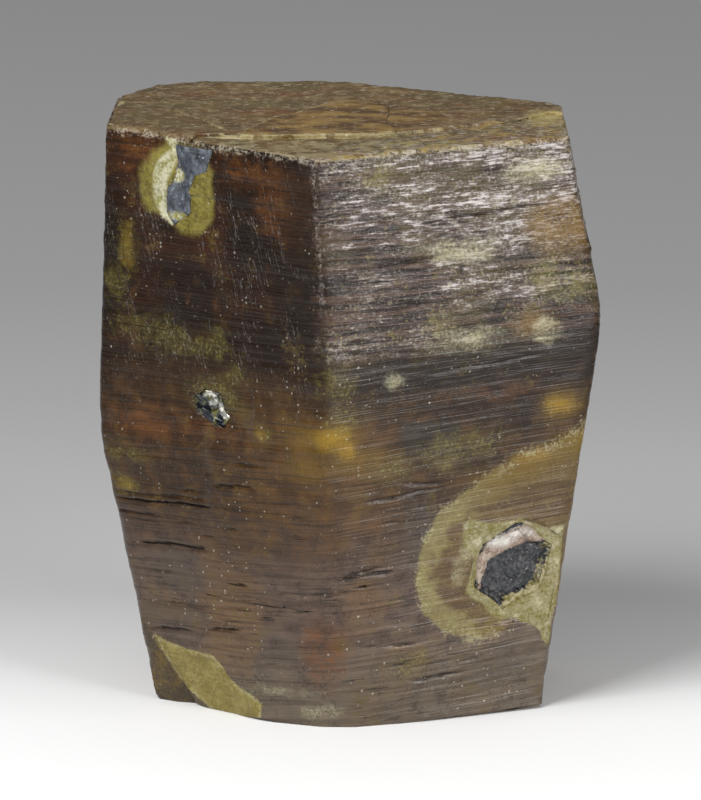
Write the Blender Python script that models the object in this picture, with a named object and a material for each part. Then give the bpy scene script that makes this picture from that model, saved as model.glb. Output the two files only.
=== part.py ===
"""A parisite crystal: a stout six-sided barrel, ridged level by level, standing on its flat base.

Run with blender --background --python part.py, or from Blender's text editor.
The crystal's long axis is Z and its sharp front edge points to -Y. All sizes are real ones.
"""

import math
import random

import bmesh
import bpy
from mathutils import Matrix, Vector

MM = 0.001

# The crystal's driving sizes
HEIGHT = 20.0 * MM
BLOCK = 60.0 * MM
TOUCH = 1e-7

# One entry for each side face: the direction it faces in degrees from +X, its reach from the long
# axis at its waist, the waist's height, and how far it leans in above and below the waist in degrees.
SIDE_FACES = {
    "front_left": (233.8, 7.66 * MM, 9.4 * MM, 0.0, 4.1),
    "front_right": (-66.2, 7.60 * MM, 13.6 * MM, 5.3, 3.9),
    "right": (1.0, 8.12 * MM, 13.6 * MM, 10.9, 8.4),
    "right_back": (32.0, 7.30 * MM, 12.6 * MM, 7.0, 6.5),
    "back_right": (62.0, 5.10 * MM, 12.4 * MM, 3.9, 6.0),
    "back": (91.0, 6.25 * MM, 11.5 * MM, 4.2, 7.5),
    "back_left": (114.0, 7.70 * MM, 10.6 * MM, 2.6, 8.0),
    "left_back": (148.0, 8.90 * MM, 9.8 * MM, 2.2, 10.0),
    "left": (176.7, 8.74 * MM, 9.4 * MM, 2.0, 12.0),
}
# Narrow faces that blunt an edge. The three at the front are one plane each, and fade out above the waist.
EDGE_FACES = {
    "left_edge": (204.0, 9.30 * MM, 9.4 * MM, 0.9, 9.4),
    "right_edge": (-30.0, 9.44 * MM, 13.6 * MM, 8.0, 6.6),
    "front_edge_left": (250.0, 8.50 * MM, 9.4 * MM, -9.2, 9.2),
    "front_edge_middle": (268.0, 8.62 * MM, 9.4 * MM, -9.8, 9.8),
    "front_edge_right": (286.0, 7.92 * MM, 9.4 * MM, -7.6, 7.6),
}
# The worn rims: how far below the top or above the base each worn slope starts, and its slope in degrees.
TOP_WEAR = {"front_left": 0.16 * MM, "front_right": 0.22 * MM, "right": 0.14 * MM, "left": 0.10 * MM}
TOP_WEAR_SLOPE = 42.0
BASE_WEAR = 0.12 * MM
BASE_WEAR_SLOPE = -50.0

# Growth ledges: level bands that stand in or out of the face, with a low riser between two of them.
BAND_HEIGHTS = (0.30 * MM, 0.80 * MM)
BAND_DEPTH = 0.085 * MM
RISER = 0.05 * MM
COLUMN_STEP = 2.6 * MM
LEDGE_LOBES = 3.0
LEDGE_TURN = 1.7
CHANCE_SEED = 11

# Steps on the top face, where the crystal has parted along its growth layers: how far each step lies
# below the highest layer, and its outline in millimetres.
TOP_STEPS = {
    "hollow": (0.07 * MM, (
        (-9.5, 1.0), (-8.0, 0.8), (-7.3, 0.4), (-6.6, -0.4), (-5.9, -1.3), (-5.4, -2.1), (-4.9, -3.0),
        (-4.7, -3.9), (-4.4, -5.3), (-4.1, -5.3), (-3.8, -3.7), (-3.5, -3.2), (-2.9, -1.8), (-2.0, -0.8),
        (-1.2, 0.4), (-0.5, 1.1), (0.5, 1.0), (1.0, -0.3), (0.9, -2.1), (1.1, -3.2), (1.3, -5.0),
        (9.5, -5.0), (9.5, 9.5), (-9.5, 9.5),
    )),
    "front_terrace": (0.14 * MM, (
        (-5.5, -4.5), (-4.9, -4.7), (-4.0, -5.0), (-2.7, -5.0), (-1.3, -4.8), (0.0, -4.8), (1.3, -4.3),
        (2.7, -3.5), (4.0, -2.8), (5.4, -2.0), (6.4, -0.8), (9.5, -0.8), (9.5, -11.0), (-6.2, -11.0),
    )),
    "back_layer": (0.24 * MM, (
        (-9.5, 1.9), (-5.8, 1.5), (-5.0, 1.7), (-3.4, 1.5), (-2.0, 1.6), (-1.4, 2.4), (-0.5, 3.1),
        (0.7, 2.4), (2.4, 1.3), (4.1, 0.4), (5.8, -0.3), (9.5, -0.6), (9.5, 9.5), (-9.5, 9.5),
    )),
}
STEP_CLEARANCE = 1.0 * MM

# The chip at the base's left corner. Two broken faces meet at its rim: a leaning one in front and a
# nearly upright one set back behind it. Each has a direction, a reach at the base, and a lean.
CHIP_FACE = (218.5, 6.90 * MM, -25.0)
RECESS_FACE = (256.0, 5.16 * MM, -3.0)
CHIP_RIM = ((-5.55 * MM, -4.14 * MM, 0.0), (-6.97 * MM, -4.05 * MM, 2.37 * MM))
RIM_BACKWARD = (0.25 * MM, 1.0 * MM, 0.0)
# The chip's front runs out in a shallow hollow, part of a large sphere, on the front left face.
SCOOP_CENTRE_X = -5.75 * MM
SCOOP_CENTRE_Z = -1.36 * MM
SCOOP_WIDTH = 3.59 * MM
SCOOP_DEPTH = 0.36 * MM

# The flaked skin round the large grain, in its face's own plane about the grain's centre.
FLAKE_DEPTH = 0.10 * MM
FLAKE = (
    (-1.42, -0.77), (-1.18, -1.30), (-0.87, -1.69), (-0.04, -1.81), (0.56, -1.99), (0.95, -2.32),
    (1.13, -2.77), (1.28, -2.90), (1.36, -2.09), (1.50, -1.04), (1.60, -0.15), (1.70, 0.55), (1.62, 0.95),
    (0.95, 1.42), (0.24, 1.66), (-0.43, 1.47), (-1.19, 1.12), (-1.60, 0.03),
)

# The dark grains. Each outline lies in its face's plane about the grain's centre.
LARGE_GRAIN = (
    (-1.43, -0.63), (-1.30, 0.0), (-1.25, 0.63), (-1.11, 0.87), (-0.42, 1.25), (0.0, 1.48), (0.24, 1.49),
    (0.62, 1.25), (0.82, 0.94), (1.40, 0.59), (1.28, -0.11), (1.11, -0.80), (0.90, -1.03), (0.23, -1.24),
    (-0.35, -1.53), (-0.74, -1.13), (-1.12, -0.88),
)
TOP_GRAIN = (
    (-0.50, 1.02), (0.93, 1.02), (0.67, 0.25), (0.17, 0.05), (-0.01, -0.45), (-0.01, -1.20), (-0.60, -1.68),
    (-0.88, -1.30), (-0.87, -0.51), (-0.52, -0.07), (-0.40, 0.45),
)
SMALL_GRAIN = (
    (-0.67, 0.25), (-0.19, 0.60), (0.35, 0.50), (0.51, 0.0), (0.75, -0.24), (0.49, -0.59), (-0.01, -0.42),
    (-0.51, -0.21),
)
# One entry for each grain: its face, its centre as X and Z, its outline, how deep its skin and its
# back lie below the face, and how far its sunken middle lies below its skin.
GRAINS = {
    "large_dark_grain": (
        "front_right", (5.24 * MM, 5.21 * MM), LARGE_GRAIN, 0.15 * MM, 1.40 * MM, 0.22 * MM,
    ),
    "top_edge_grain": (
        "front_left", (-5.74 * MM, 18.60 * MM), TOP_GRAIN, 0.04 * MM, 0.90 * MM, 0.06 * MM,
    ),
    "small_bright_grain": (
        "front_left", (-5.03 * MM, 10.82 * MM), SMALL_GRAIN, 0.04 * MM, 0.60 * MM, 0.05 * MM,
    ),
}
GRAIN_GAP = 0.05 * MM
GRAIN_TAPER = 0.22 / MM
GRAIN_RIM = 0.16 * MM
POCKET_MOUTH = 0.6 * MM

# Colours and finish: linear red, green and blue, then roughness and metallic
FINISHES = {
    "parisite": ((0.075, 0.036, 0.016), 0.38, 0.0),
    "large_dark_grain": ((0.050, 0.052, 0.060), 0.55, 0.1),
    "top_edge_grain": ((0.110, 0.115, 0.135), 0.45, 0.2),
    "small_bright_grain": ((0.200, 0.200, 0.150), 0.25, 0.3),
}


def clear_scene():
    for obj in list(bpy.data.objects):
        bpy.data.objects.remove(obj, do_unlink=True)


def new_collection(name):
    collection = bpy.data.collections.new(name)
    bpy.context.scene.collection.children.link(collection)
    return collection


def new_material(name):
    colour, roughness, metallic = FINISHES[name]
    material = bpy.data.materials.new(name)
    material.use_nodes = True
    shader = material.node_tree.nodes["Principled BSDF"]
    shader.inputs["Base Color"].default_value = (*colour, 1.0)
    shader.inputs["Roughness"].default_value = roughness
    shader.inputs["Metallic"].default_value = metallic
    material.diffuse_color = (*colour, 1.0)
    return material


def mesh_object(name, bm, collection):
    """Makes an object of the bmesh, with its faces pointing out."""
    bmesh.ops.recalc_face_normals(bm, faces=bm.faces[:])
    mesh = bpy.data.meshes.new(name)
    bm.to_mesh(mesh)
    bm.free()
    obj = bpy.data.objects.new(name, mesh)
    collection.objects.link(obj)
    return obj


def everything(bm):
    return bm.verts[:] + bm.edges[:] + bm.faces[:]


def block_cut_by(planes):
    """A large block, cut by each plane: a point on it, and the normal that points at the side removed."""
    bm = bmesh.new()
    bmesh.ops.create_cube(bm, size=BLOCK)
    for point, normal in planes:
        cut = bmesh.ops.bisect_plane(
            bm, geom=everything(bm), dist=TOUCH, plane_co=point, plane_no=normal, clear_outer=True
        )
        rim = [item for item in cut["geom_cut"] if isinstance(item, bmesh.types.BMEdge)]
        bmesh.ops.holes_fill(bm, edges=rim, sides=0)
    return bm


def outward(azimuth, lean):
    """The normal of a face that looks along azimuth and tips back by lean, both in degrees."""
    turn = math.radians(azimuth)
    tip = math.radians(lean)
    return Vector((math.cos(turn) * math.cos(tip), math.sin(turn) * math.cos(tip), math.sin(tip)))


def at_reach(azimuth, reach, height):
    turn = math.radians(azimuth)
    return Vector((reach * math.cos(turn), reach * math.sin(turn), height))


def reach_at(face, height):
    """How far a side face lies from the long axis at a height."""
    _, reach, waist, lean_above, lean_below = face
    if height > waist:
        return reach - (height - waist) * math.tan(math.radians(lean_above))
    return reach - (waist - height) * math.tan(math.radians(lean_below))


def crystal_planes():
    """The planes of the base, the top, the upper and lower half of every face, and the worn rims."""
    planes = [(Vector(), Vector((0, 0, -1))), (Vector((0, 0, HEIGHT)), Vector((0, 0, 1)))]
    for azimuth, reach, waist, lean_above, lean_below in {**SIDE_FACES, **EDGE_FACES}.values():
        point = at_reach(azimuth, reach, waist)
        planes.append((point, outward(azimuth, lean_above)))
        planes.append((point, outward(azimuth, -lean_below)))
    for name, below_top in TOP_WEAR.items():
        face = SIDE_FACES[name]
        start = HEIGHT - below_top
        planes.append((at_reach(face[0], reach_at(face, start), start), outward(face[0], TOP_WEAR_SLOPE)))
    for face in SIDE_FACES.values():
        point = at_reach(face[0], reach_at(face, BASE_WEAR), BASE_WEAR)
        planes.append((point, outward(face[0], BASE_WEAR_SLOPE)))
    return planes


def growth_bands(chance):
    """The bands from the base up, as (lowest height, highest height, how far the band stands in)."""
    bands = []
    low = 0.0
    while low < HEIGHT:
        high = low + chance.uniform(*BAND_HEIGHTS)
        if high > HEIGHT - BAND_HEIGHTS[0]:
            high = HEIGHT
        bands.append((low, high, chance.uniform(0.0, BAND_DEPTH)))
        low = high
    return bands


def slice_through(bm, point, normal):
    bmesh.ops.bisect_plane(bm, geom=everything(bm), dist=TOUCH, plane_co=point, plane_no=normal)


def slice_for_ledges(bm, bands):
    """Level cuts at both edges of every band, and upright cuts so that a ledge can fade along its face."""
    for low, high, _ in bands:
        for height in (low + RISER / 2, high - RISER / 2):
            if RISER < height < HEIGHT - RISER:
                slice_through(bm, (0, 0, height), (0, 0, 1))
    half = math.ceil(HEIGHT / COLUMN_STEP)
    for column in range(-half, half + 1):
        place = column * COLUMN_STEP
        slice_through(bm, (place, 0, 0), (1, 0, 0))
        slice_through(bm, (0, place, 0), (0, 1, 0))


def step_ledges(bm, bands):
    """Moves each band of the sides towards the long axis, more on some stretches of it than on others."""
    bm.normal_update()
    on_sides = [v for v in bm.verts if any(abs(f.normal.z) < 0.5 for f in v.link_faces)]
    for vert in on_sides:
        for number, (low, high, depth) in enumerate(bands):
            if low <= vert.co.z <= high:
                turn = math.atan2(vert.co.y, vert.co.x)
                share = 0.5 + 0.5 * math.sin(LEDGE_LOBES * turn + LEDGE_TURN * number)
                shrink = 1.0 - depth * share / math.hypot(vert.co.x, vert.co.y)
                vert.co.x *= shrink
                vert.co.y *= shrink
                break


def make_crystal(collection):
    bm = block_cut_by(crystal_planes())
    bands = growth_bands(random.Random(CHANCE_SEED))
    slice_for_ledges(bm, bands)
    step_ledges(bm, bands)
    return mesh_object("parisite_crystal", bm, collection)


def flat_plate(name, outline, thickness, collection):
    """A plate of the outline, given in millimetres, from 0 up to its thickness."""
    curve = bpy.data.curves.new(name, "CURVE")
    curve.dimensions = "2D"
    curve.fill_mode = "BOTH"
    curve.extrude = thickness / 2
    spline = curve.splines.new("POLY")
    spline.points.add(len(outline) - 1)
    for point, (x, y) in zip(spline.points, outline):
        point.co = (x * MM, y * MM, 0.0, 1.0)
    spline.use_cyclic_u = True
    drawn = bpy.data.objects.new(name + "_outline", curve)
    collection.objects.link(drawn)
    graph = bpy.context.evaluated_depsgraph_get()
    mesh = bpy.data.meshes.new_from_object(drawn.evaluated_get(graph))
    bpy.data.objects.remove(drawn, do_unlink=True)
    bm = bmesh.new()
    bm.from_mesh(mesh)
    bpy.data.meshes.remove(mesh)
    bmesh.ops.remove_doubles(bm, verts=bm.verts[:], dist=TOUCH)
    bmesh.ops.dissolve_limit(bm, angle_limit=math.radians(1), verts=bm.verts[:], edges=bm.edges[:])
    bmesh.ops.translate(bm, verts=bm.verts[:], vec=(0, 0, thickness / 2))
    return bm


def face_place(name, across, height):
    """The matrix that lays a drawing on a side face, centred at this X and Z, with +Z pointing out."""
    azimuth, reach, waist, lean_above, lean_below = SIDE_FACES[name]
    normal = outward(azimuth, lean_above if height > waist else -lean_below)
    point = at_reach(azimuth, reach, waist)
    y = point.y - (normal.x * (across - point.x) + normal.z * (height - point.z)) / normal.y
    right = Vector((0, 0, 1)).cross(normal).normalized()
    turn = Matrix((right, normal.cross(right), normal)).transposed().to_4x4()
    return Matrix.Translation((across, y, height)) @ turn


def cut_from(target, name, bm, cutters):
    """The target loses the bmesh's shape, by a Boolean with a cutter that isn't part of the object."""
    tool = mesh_object(name, bm, cutters)
    tool.hide_render = True
    tool.display_type = "WIRE"
    boolean = target.modifiers.new(name, "BOOLEAN")
    boolean.operation = "DIFFERENCE"
    boolean.solver = "EXACT"
    boolean.object = tool


def cut_top_steps(crystal, cutters):
    for name, (depth, outline) in TOP_STEPS.items():
        plate = flat_plate(name, outline, depth + STEP_CLEARANCE, cutters)
        bmesh.ops.translate(plate, verts=plate.verts[:], vec=(0, 0, HEIGHT - depth))
        cut_from(crystal, name, plate, cutters)


def cut_chip(crystal, cutters):
    """Breaks the corner off outside its front face, and outside its recessed face behind the rim."""
    foot = Vector(CHIP_RIM[0])
    tip = Vector(CHIP_RIM[1])
    behind_rim = (tip - foot).cross(Vector(RIM_BACKWARD)).normalized()
    if behind_rim.x > 0:
        behind_rim.negate()
    for name, (azimuth, reach, lean), removed in (
        ("chip_front", CHIP_FACE, behind_rim),
        ("chip_recess", RECESS_FACE, -behind_rim),
    ):
        broken = (at_reach(azimuth, reach, 0.0), -outward(azimuth, lean))
        cut_from(crystal, name, block_cut_by([broken, (foot, removed)]), cutters)

    radius = (SCOOP_WIDTH**2 + SCOOP_DEPTH**2) / (2 * SCOOP_DEPTH)
    on_face = face_place("front_left", SCOOP_CENTRE_X, SCOOP_CENTRE_Z)
    scoop = bmesh.new()
    bmesh.ops.create_icosphere(scoop, subdivisions=4, radius=radius)
    bmesh.ops.translate(scoop, verts=scoop.verts[:], vec=(0, 0, radius - SCOOP_DEPTH))
    bmesh.ops.transform(scoop, matrix=on_face, verts=scoop.verts[:])
    cut_from(crystal, "chip_scoop", scoop, cutters)


def cut_flake(crystal, cutters):
    face, centre = GRAINS["large_dark_grain"][:2]
    plate = flat_plate("flake", FLAKE, FLAKE_DEPTH + STEP_CLEARANCE, cutters)
    bmesh.ops.translate(plate, verts=plate.verts[:], vec=(0, 0, -FLAKE_DEPTH))
    bmesh.ops.transform(plate, matrix=face_place(face, *centre), verts=plate.verts[:])
    cut_from(crystal, "flake", plate, cutters)


def grain_shape(name, outline, top, bottom, grow, collection):
    """A closed shape with the grain's outline at the face, narrower below it, and larger all round by grow."""
    bm = flat_plate(name, outline, top - bottom, collection)
    bmesh.ops.translate(bm, verts=bm.verts[:], vec=(0, 0, bottom))
    for vert in bm.verts:
        size = 1.0 + GRAIN_TAPER * vert.co.z + grow / math.hypot(vert.co.x, vert.co.y)
        vert.co.x *= size
        vert.co.y *= size
    return bm


def make_grain(name, crystal, parts, cutters):
    """A dark grain in a pocket of its own shape. Its middle is sunk, with a rim that slopes down to it."""
    face, centre, outline, skin, back, sunken = GRAINS[name]
    place = face_place(face, *centre)
    pocket = grain_shape(name, outline, POCKET_MOUTH, -back - GRAIN_GAP, GRAIN_GAP, cutters)
    bmesh.ops.transform(pocket, matrix=place, verts=pocket.verts[:])
    cut_from(crystal, name + "_pocket", pocket, cutters)

    bm = grain_shape(name, outline, -skin, -back, 0.0, parts)
    bm.normal_update()
    front = [f for f in bm.faces if f.normal.z > 0.9]
    bmesh.ops.inset_region(bm, faces=front, thickness=GRAIN_RIM, use_even_offset=True)
    middle = list({v for f in front for v in f.verts})
    bmesh.ops.translate(bm, verts=middle, vec=(0, 0, -sunken))
    bmesh.ops.transform(bm, matrix=place, verts=bm.verts[:])
    return mesh_object(name, bm, parts)


def stand_on_origin(solids, cutters):
    """Parents everything to an empty that brings the middle of the object's box to the origin."""
    holder = bpy.data.objects.new("base_middle", None)
    bpy.context.scene.collection.objects.link(holder)
    bpy.context.view_layer.update()
    graph = bpy.context.evaluated_depsgraph_get()
    corners = [Vector(c) for obj in solids for c in obj.evaluated_get(graph).bound_box]
    middle_x = (min(c.x for c in corners) + max(c.x for c in corners)) / 2
    middle_y = (min(c.y for c in corners) + max(c.y for c in corners)) / 2
    holder.location = (-middle_x, -middle_y, 0)
    for obj in [*solids, *cutters.objects]:
        obj.parent = holder


def main():
    clear_scene()
    parts = new_collection("Parisite crystal")
    cutters = new_collection("Cutters")
    crystal = make_crystal(parts)
    crystal.data.materials.append(new_material("parisite"))
    cut_top_steps(crystal, cutters)
    cut_chip(crystal, cutters)
    cut_flake(crystal, cutters)
    solids = [crystal]
    for name in GRAINS:
        grain = make_grain(name, crystal, parts, cutters)
        grain.data.materials.append(new_material(name))
        solids.append(grain)
    stand_on_origin(solids, cutters)


main()
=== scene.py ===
# %% [markdown]
# Dressing a parisite crystal
#
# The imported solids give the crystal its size, its faces, its steps and its pockets. This lesson loads
# them as a fixed frame and gives them a skin: growth ridges, cracks, broken sheen, halos and dark grains.
# Everything is measured in metres, but crystals are small, so the tables below are in millimetres.

# %% Load the frame
import collections
import math

import bmesh
import bpy
import numpy as np
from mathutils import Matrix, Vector, noise


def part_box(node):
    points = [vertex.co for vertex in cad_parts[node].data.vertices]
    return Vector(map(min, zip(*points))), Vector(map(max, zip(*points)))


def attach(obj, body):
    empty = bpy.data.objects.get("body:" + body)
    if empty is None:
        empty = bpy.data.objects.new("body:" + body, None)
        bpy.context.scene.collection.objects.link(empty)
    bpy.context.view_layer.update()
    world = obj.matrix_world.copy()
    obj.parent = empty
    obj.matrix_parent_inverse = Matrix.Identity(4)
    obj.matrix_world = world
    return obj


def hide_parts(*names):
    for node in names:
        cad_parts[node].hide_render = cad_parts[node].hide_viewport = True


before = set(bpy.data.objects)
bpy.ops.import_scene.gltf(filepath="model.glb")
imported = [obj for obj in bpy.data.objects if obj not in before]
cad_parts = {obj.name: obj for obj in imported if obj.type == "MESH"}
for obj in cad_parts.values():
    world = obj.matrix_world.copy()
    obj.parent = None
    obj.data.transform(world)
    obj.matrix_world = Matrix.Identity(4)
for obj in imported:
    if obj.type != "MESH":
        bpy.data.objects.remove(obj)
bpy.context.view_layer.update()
MM = 0.001
TOUCH = 2e-7
print("nodes:", sorted(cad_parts))

# %% [markdown]
# The camera
#
# A macro lens far away keeps the crystal's edges nearly parallel. The same look comes from a long lens
# 267 mm off, 13.5 degrees above the level of the table, aimed at the middle of the crystal.

# %% Set up the camera
CAMERA_PLACE = Vector((0.0616, -258.423, 72.040)) * MM
CAMERA_AIM = Vector((0.0616, 1.26, 9.695)) * MM

camera = bpy.data.objects.new("camera", bpy.data.cameras.new("camera"))
camera.data.lens = 350
camera.data.sensor_width = 36
camera.data.clip_start = 0.01
camera.location = CAMERA_PLACE
camera.rotation_euler = (CAMERA_AIM - CAMERA_PLACE).to_track_quat("-Z", "Y").to_euler()
bpy.context.scene.collection.objects.link(camera)
bpy.context.scene.camera = camera
print("camera stands", round((CAMERA_AIM - CAMERA_PLACE).length / MM), "mm off")

# %% [markdown]
# A skin fine enough to sculpt
#
# Growth ridges on the real crystal are a tenth of a millimetre high. They could be faked in the
# material, but then the outline would stay smooth. Instead a copy of the crystal's own solid is sliced
# by level and upright planes into thin cells, and later each corner of a cell is moved in or out.
# The cuts halve the job again and again, so that a plane only meets the faces near it.


# %% Slice a mesh along many planes
def slice_skin(bm, faces, axis, places):
    """Cuts the faces along each plane that lies at one of the places on the axis."""
    if not places or not faces:
        return
    middle = len(places) // 2
    near = {item for face in faces for item in (*face.verts, *face.edges, face)}
    done = bmesh.ops.bisect_plane(
        bm, geom=list(near), dist=TOUCH, plane_co=axis * places[middle], plane_no=axis
    )
    parts = [item for item in done["geom"] if isinstance(item, bmesh.types.BMFace)]
    lower = [face for face in parts if face.calc_center_median().dot(axis) < places[middle]]
    upper = [face for face in parts if face.calc_center_median().dot(axis) >= places[middle]]
    slice_skin(bm, lower, axis, places[:middle])
    slice_skin(bm, upper, axis, places[middle + 1:])


def evenly(low, high, spacing):
    count = max(1, math.ceil((high - low) / spacing))
    return [low + (high - low) * step / count for step in range(1, count)]


def merged_copy(node):
    """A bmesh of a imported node, whose loose triangles are joined into whole flat faces."""
    bm = bmesh.new()
    bm.from_mesh(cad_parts[node].data)
    bmesh.ops.remove_doubles(bm, verts=bm.verts[:], dist=TOUCH)
    bmesh.ops.dissolve_limit(bm, angle_limit=math.radians(0.3), verts=bm.verts[:], edges=bm.edges[:])
    bm.normal_update()
    return bm


# %% Slice the crystal
ROW = 0.066 * MM
COLUMN_FRONT = 0.17 * MM
COLUMN_SIDE = 0.22 * MM
COLUMN_BACK = 0.30 * MM
TOP_CELL = 0.20 * MM
SHARED_BY = 12

skin = merged_copy("parisite_crystal")
low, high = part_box("parisite_crystal")
heights = collections.Counter(round(vert.co.z / MM, 3) for vert in skin.verts)
ledges = sorted(height * MM for height, count in heights.items() if count >= SHARED_BY)
rows = [place for a, b in zip(ledges, ledges[1:]) for place in evenly(a, b, ROW)]

tops = [face for face in skin.faces if face.normal.z > 0.7 and face.calc_center_median().z > 0.9 * high.z]
slice_skin(skin, tops, Vector((1, 0, 0)), evenly(low.x, high.x, TOP_CELL))
tops = [face for face in skin.faces if face.normal.z > 0.7 and face.calc_center_median().z > 0.9 * high.z]
slice_skin(skin, tops, Vector((0, 1, 0)), evenly(low.y, high.y, TOP_CELL))


def side_faces(bm, wanted):
    return [face for face in bm.faces if abs(face.normal.z) < 0.7 and wanted(face.normal)]


ACROSS, AWAY, UP = Vector((1, 0, 0)), Vector((0, 1, 0)), Vector((0, 0, 1))
slice_skin(skin, side_faces(skin, lambda n: -n.y > abs(n.x)), ACROSS, evenly(low.x, high.x, COLUMN_FRONT))
slice_skin(skin, side_faces(skin, lambda n: n.y > abs(n.x)), ACROSS, evenly(low.x, high.x, COLUMN_BACK))
slice_skin(skin, side_faces(skin, lambda n: abs(n.y) <= abs(n.x)), AWAY, evenly(low.y, high.y, COLUMN_SIDE))
slice_skin(skin, side_faces(skin, lambda n: True), UP, rows)
print("skin cells:", len(skin.faces), "in", len(rows) + len(ledges), "rows")

# %% [markdown]
# Wear on the long edges and the rims
#
# The real crystal has been handled: its upright edges are a little blunt. A bevel would round them all
# alike. Smoothing only the corners that sit on an edge blunts them by about a cell, unevenly.


# %% Blunt the edges
def spread_of(vert):
    """How far, in degrees, the side faces that meet at a corner turn from one another."""
    turns = [face.normal for face in vert.link_faces if abs(face.normal.z) < 0.6]
    if len(turns) < 2:
        return 0.0
    level = [Vector((n.x, n.y)).normalized() for n in turns]
    return math.degrees(max(a.angle(b, 0.0) for a in level for b in level))


skin.normal_update()
EDGE_TURN = 11.0
SMOOTHING_ROUNDS = 3
on_edges = [vert for vert in skin.verts if spread_of(vert) > EDGE_TURN]
beside = {other for vert in on_edges for edge in vert.link_edges for other in edge.verts}
for _ in range(SMOOTHING_ROUNDS):
    bmesh.ops.smooth_vert(skin, verts=list(beside), factor=0.4, use_axis_x=True, use_axis_y=True, use_axis_z=False)
bmesh.ops.recalc_face_normals(skin, faces=skin.faces[:])
mesh = bpy.data.meshes.new("crystal_skin")
skin.to_mesh(mesh)
skin.free()
mesh.shade_smooth()
print("corners blunted:", len(beside))

# %% [markdown]
# Drawing on an unrolled skin
#
# Halos, chips and blotches sit at certain places on the crystal. Like a label, the side skin can be
# unrolled flat: one number says how far round a place is, counted from the front, and the other is
# its height. An outline drawn there wraps round the crystal by itself. Each corner of the mesh then
# stores how far it lies outside the outline, less than zero inside, and the material turns that
# distance into a colour with a crisp or a torn border.

# %% Measure every corner of the skin
ROUND_SCALE = 8.0
FAR = 4.0


def corners_of(mesh):
    places = np.empty(len(mesh.vertices) * 3)
    mesh.vertices.foreach_get("co", places)
    return places.reshape(-1, 3) / MM


def normals_of(mesh):
    normals = np.empty(len(mesh.vertices) * 3)
    mesh.vertex_normals.foreach_get("vector", normals)
    return normals.reshape(-1, 3)


def unrolled(places):
    return np.stack([ROUND_SCALE * np.arctan2(places[:, 0], -places[:, 1]), places[:, 2]], axis=1)


def outside_by(points, outline):
    """How far each point lies outside a closed outline, less than zero inside it."""
    ends = np.array(outline, float)
    nearest = np.full(len(points), FAR)
    inside = np.zeros(len(points), bool)
    for start, end in zip(ends, np.roll(ends, -1, axis=0)):
        along = end - start
        share = np.clip(((points - start) @ along) / max(along @ along, 1e-9), 0.0, 1.0)
        nearest = np.minimum(nearest, np.hypot(*(points - start - share[:, None] * along).T))
        crosses = (start[1] > points[:, 1]) != (end[1] > points[:, 1])
        rise = along[1] if abs(along[1]) > 1e-9 else 1e-9
        inside ^= crosses & (points[:, 0] < start[0] + (points[:, 1] - start[1]) * along[0] / rise)
    return np.where(inside, -nearest, nearest)


def outside_ovals(points, ovals):
    """How far each point lies outside the nearest of many ovals: middle, half width, half height."""
    nearest = np.full(len(points), FAR)
    for across, up, half_width, half_height in ovals:
        ratio = np.hypot((points[:, 0] - across) / half_width, (points[:, 1] - up) / half_height)
        nearest = np.minimum(nearest, (ratio - 1.0) * min(half_width, half_height))
    return nearest


def keep(mesh, name, values):
    attribute = mesh.attributes.new(name, "FLOAT", "POINT")
    attribute.data.foreach_set("value", np.asarray(values, np.float32))


TOP_RIM = (
    (-1.16, -7.08), (2.96, -5.31), (7.31, -3.34), (7.34, 1.85), (6.84, 3.03), (4.93, 4.06), (-0.36, 6.83),
    (-5.07, 6.81), (-6.74, 5.96), (-7.85, 4.15), (-8.16, -1.81), (-8.0, -2.06),
)
places = corners_of(mesh)
flat = unrolled(places)
normals = normals_of(mesh)
from_rim = outside_by(places[:, :2], TOP_RIM)
on_top = (places[:, 2] > 19.6) & ((normals[:, 2] > 0.35) | (from_rim < -0.12))
below_rim = np.where(on_top, 0.0, np.clip(19.85 - places[:, 2], 0.0, None))
keep(mesh, "rim", np.hypot(from_rim, below_rim))
print("corners:", len(places), "of them on the top:", int(on_top.sum()))
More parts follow.
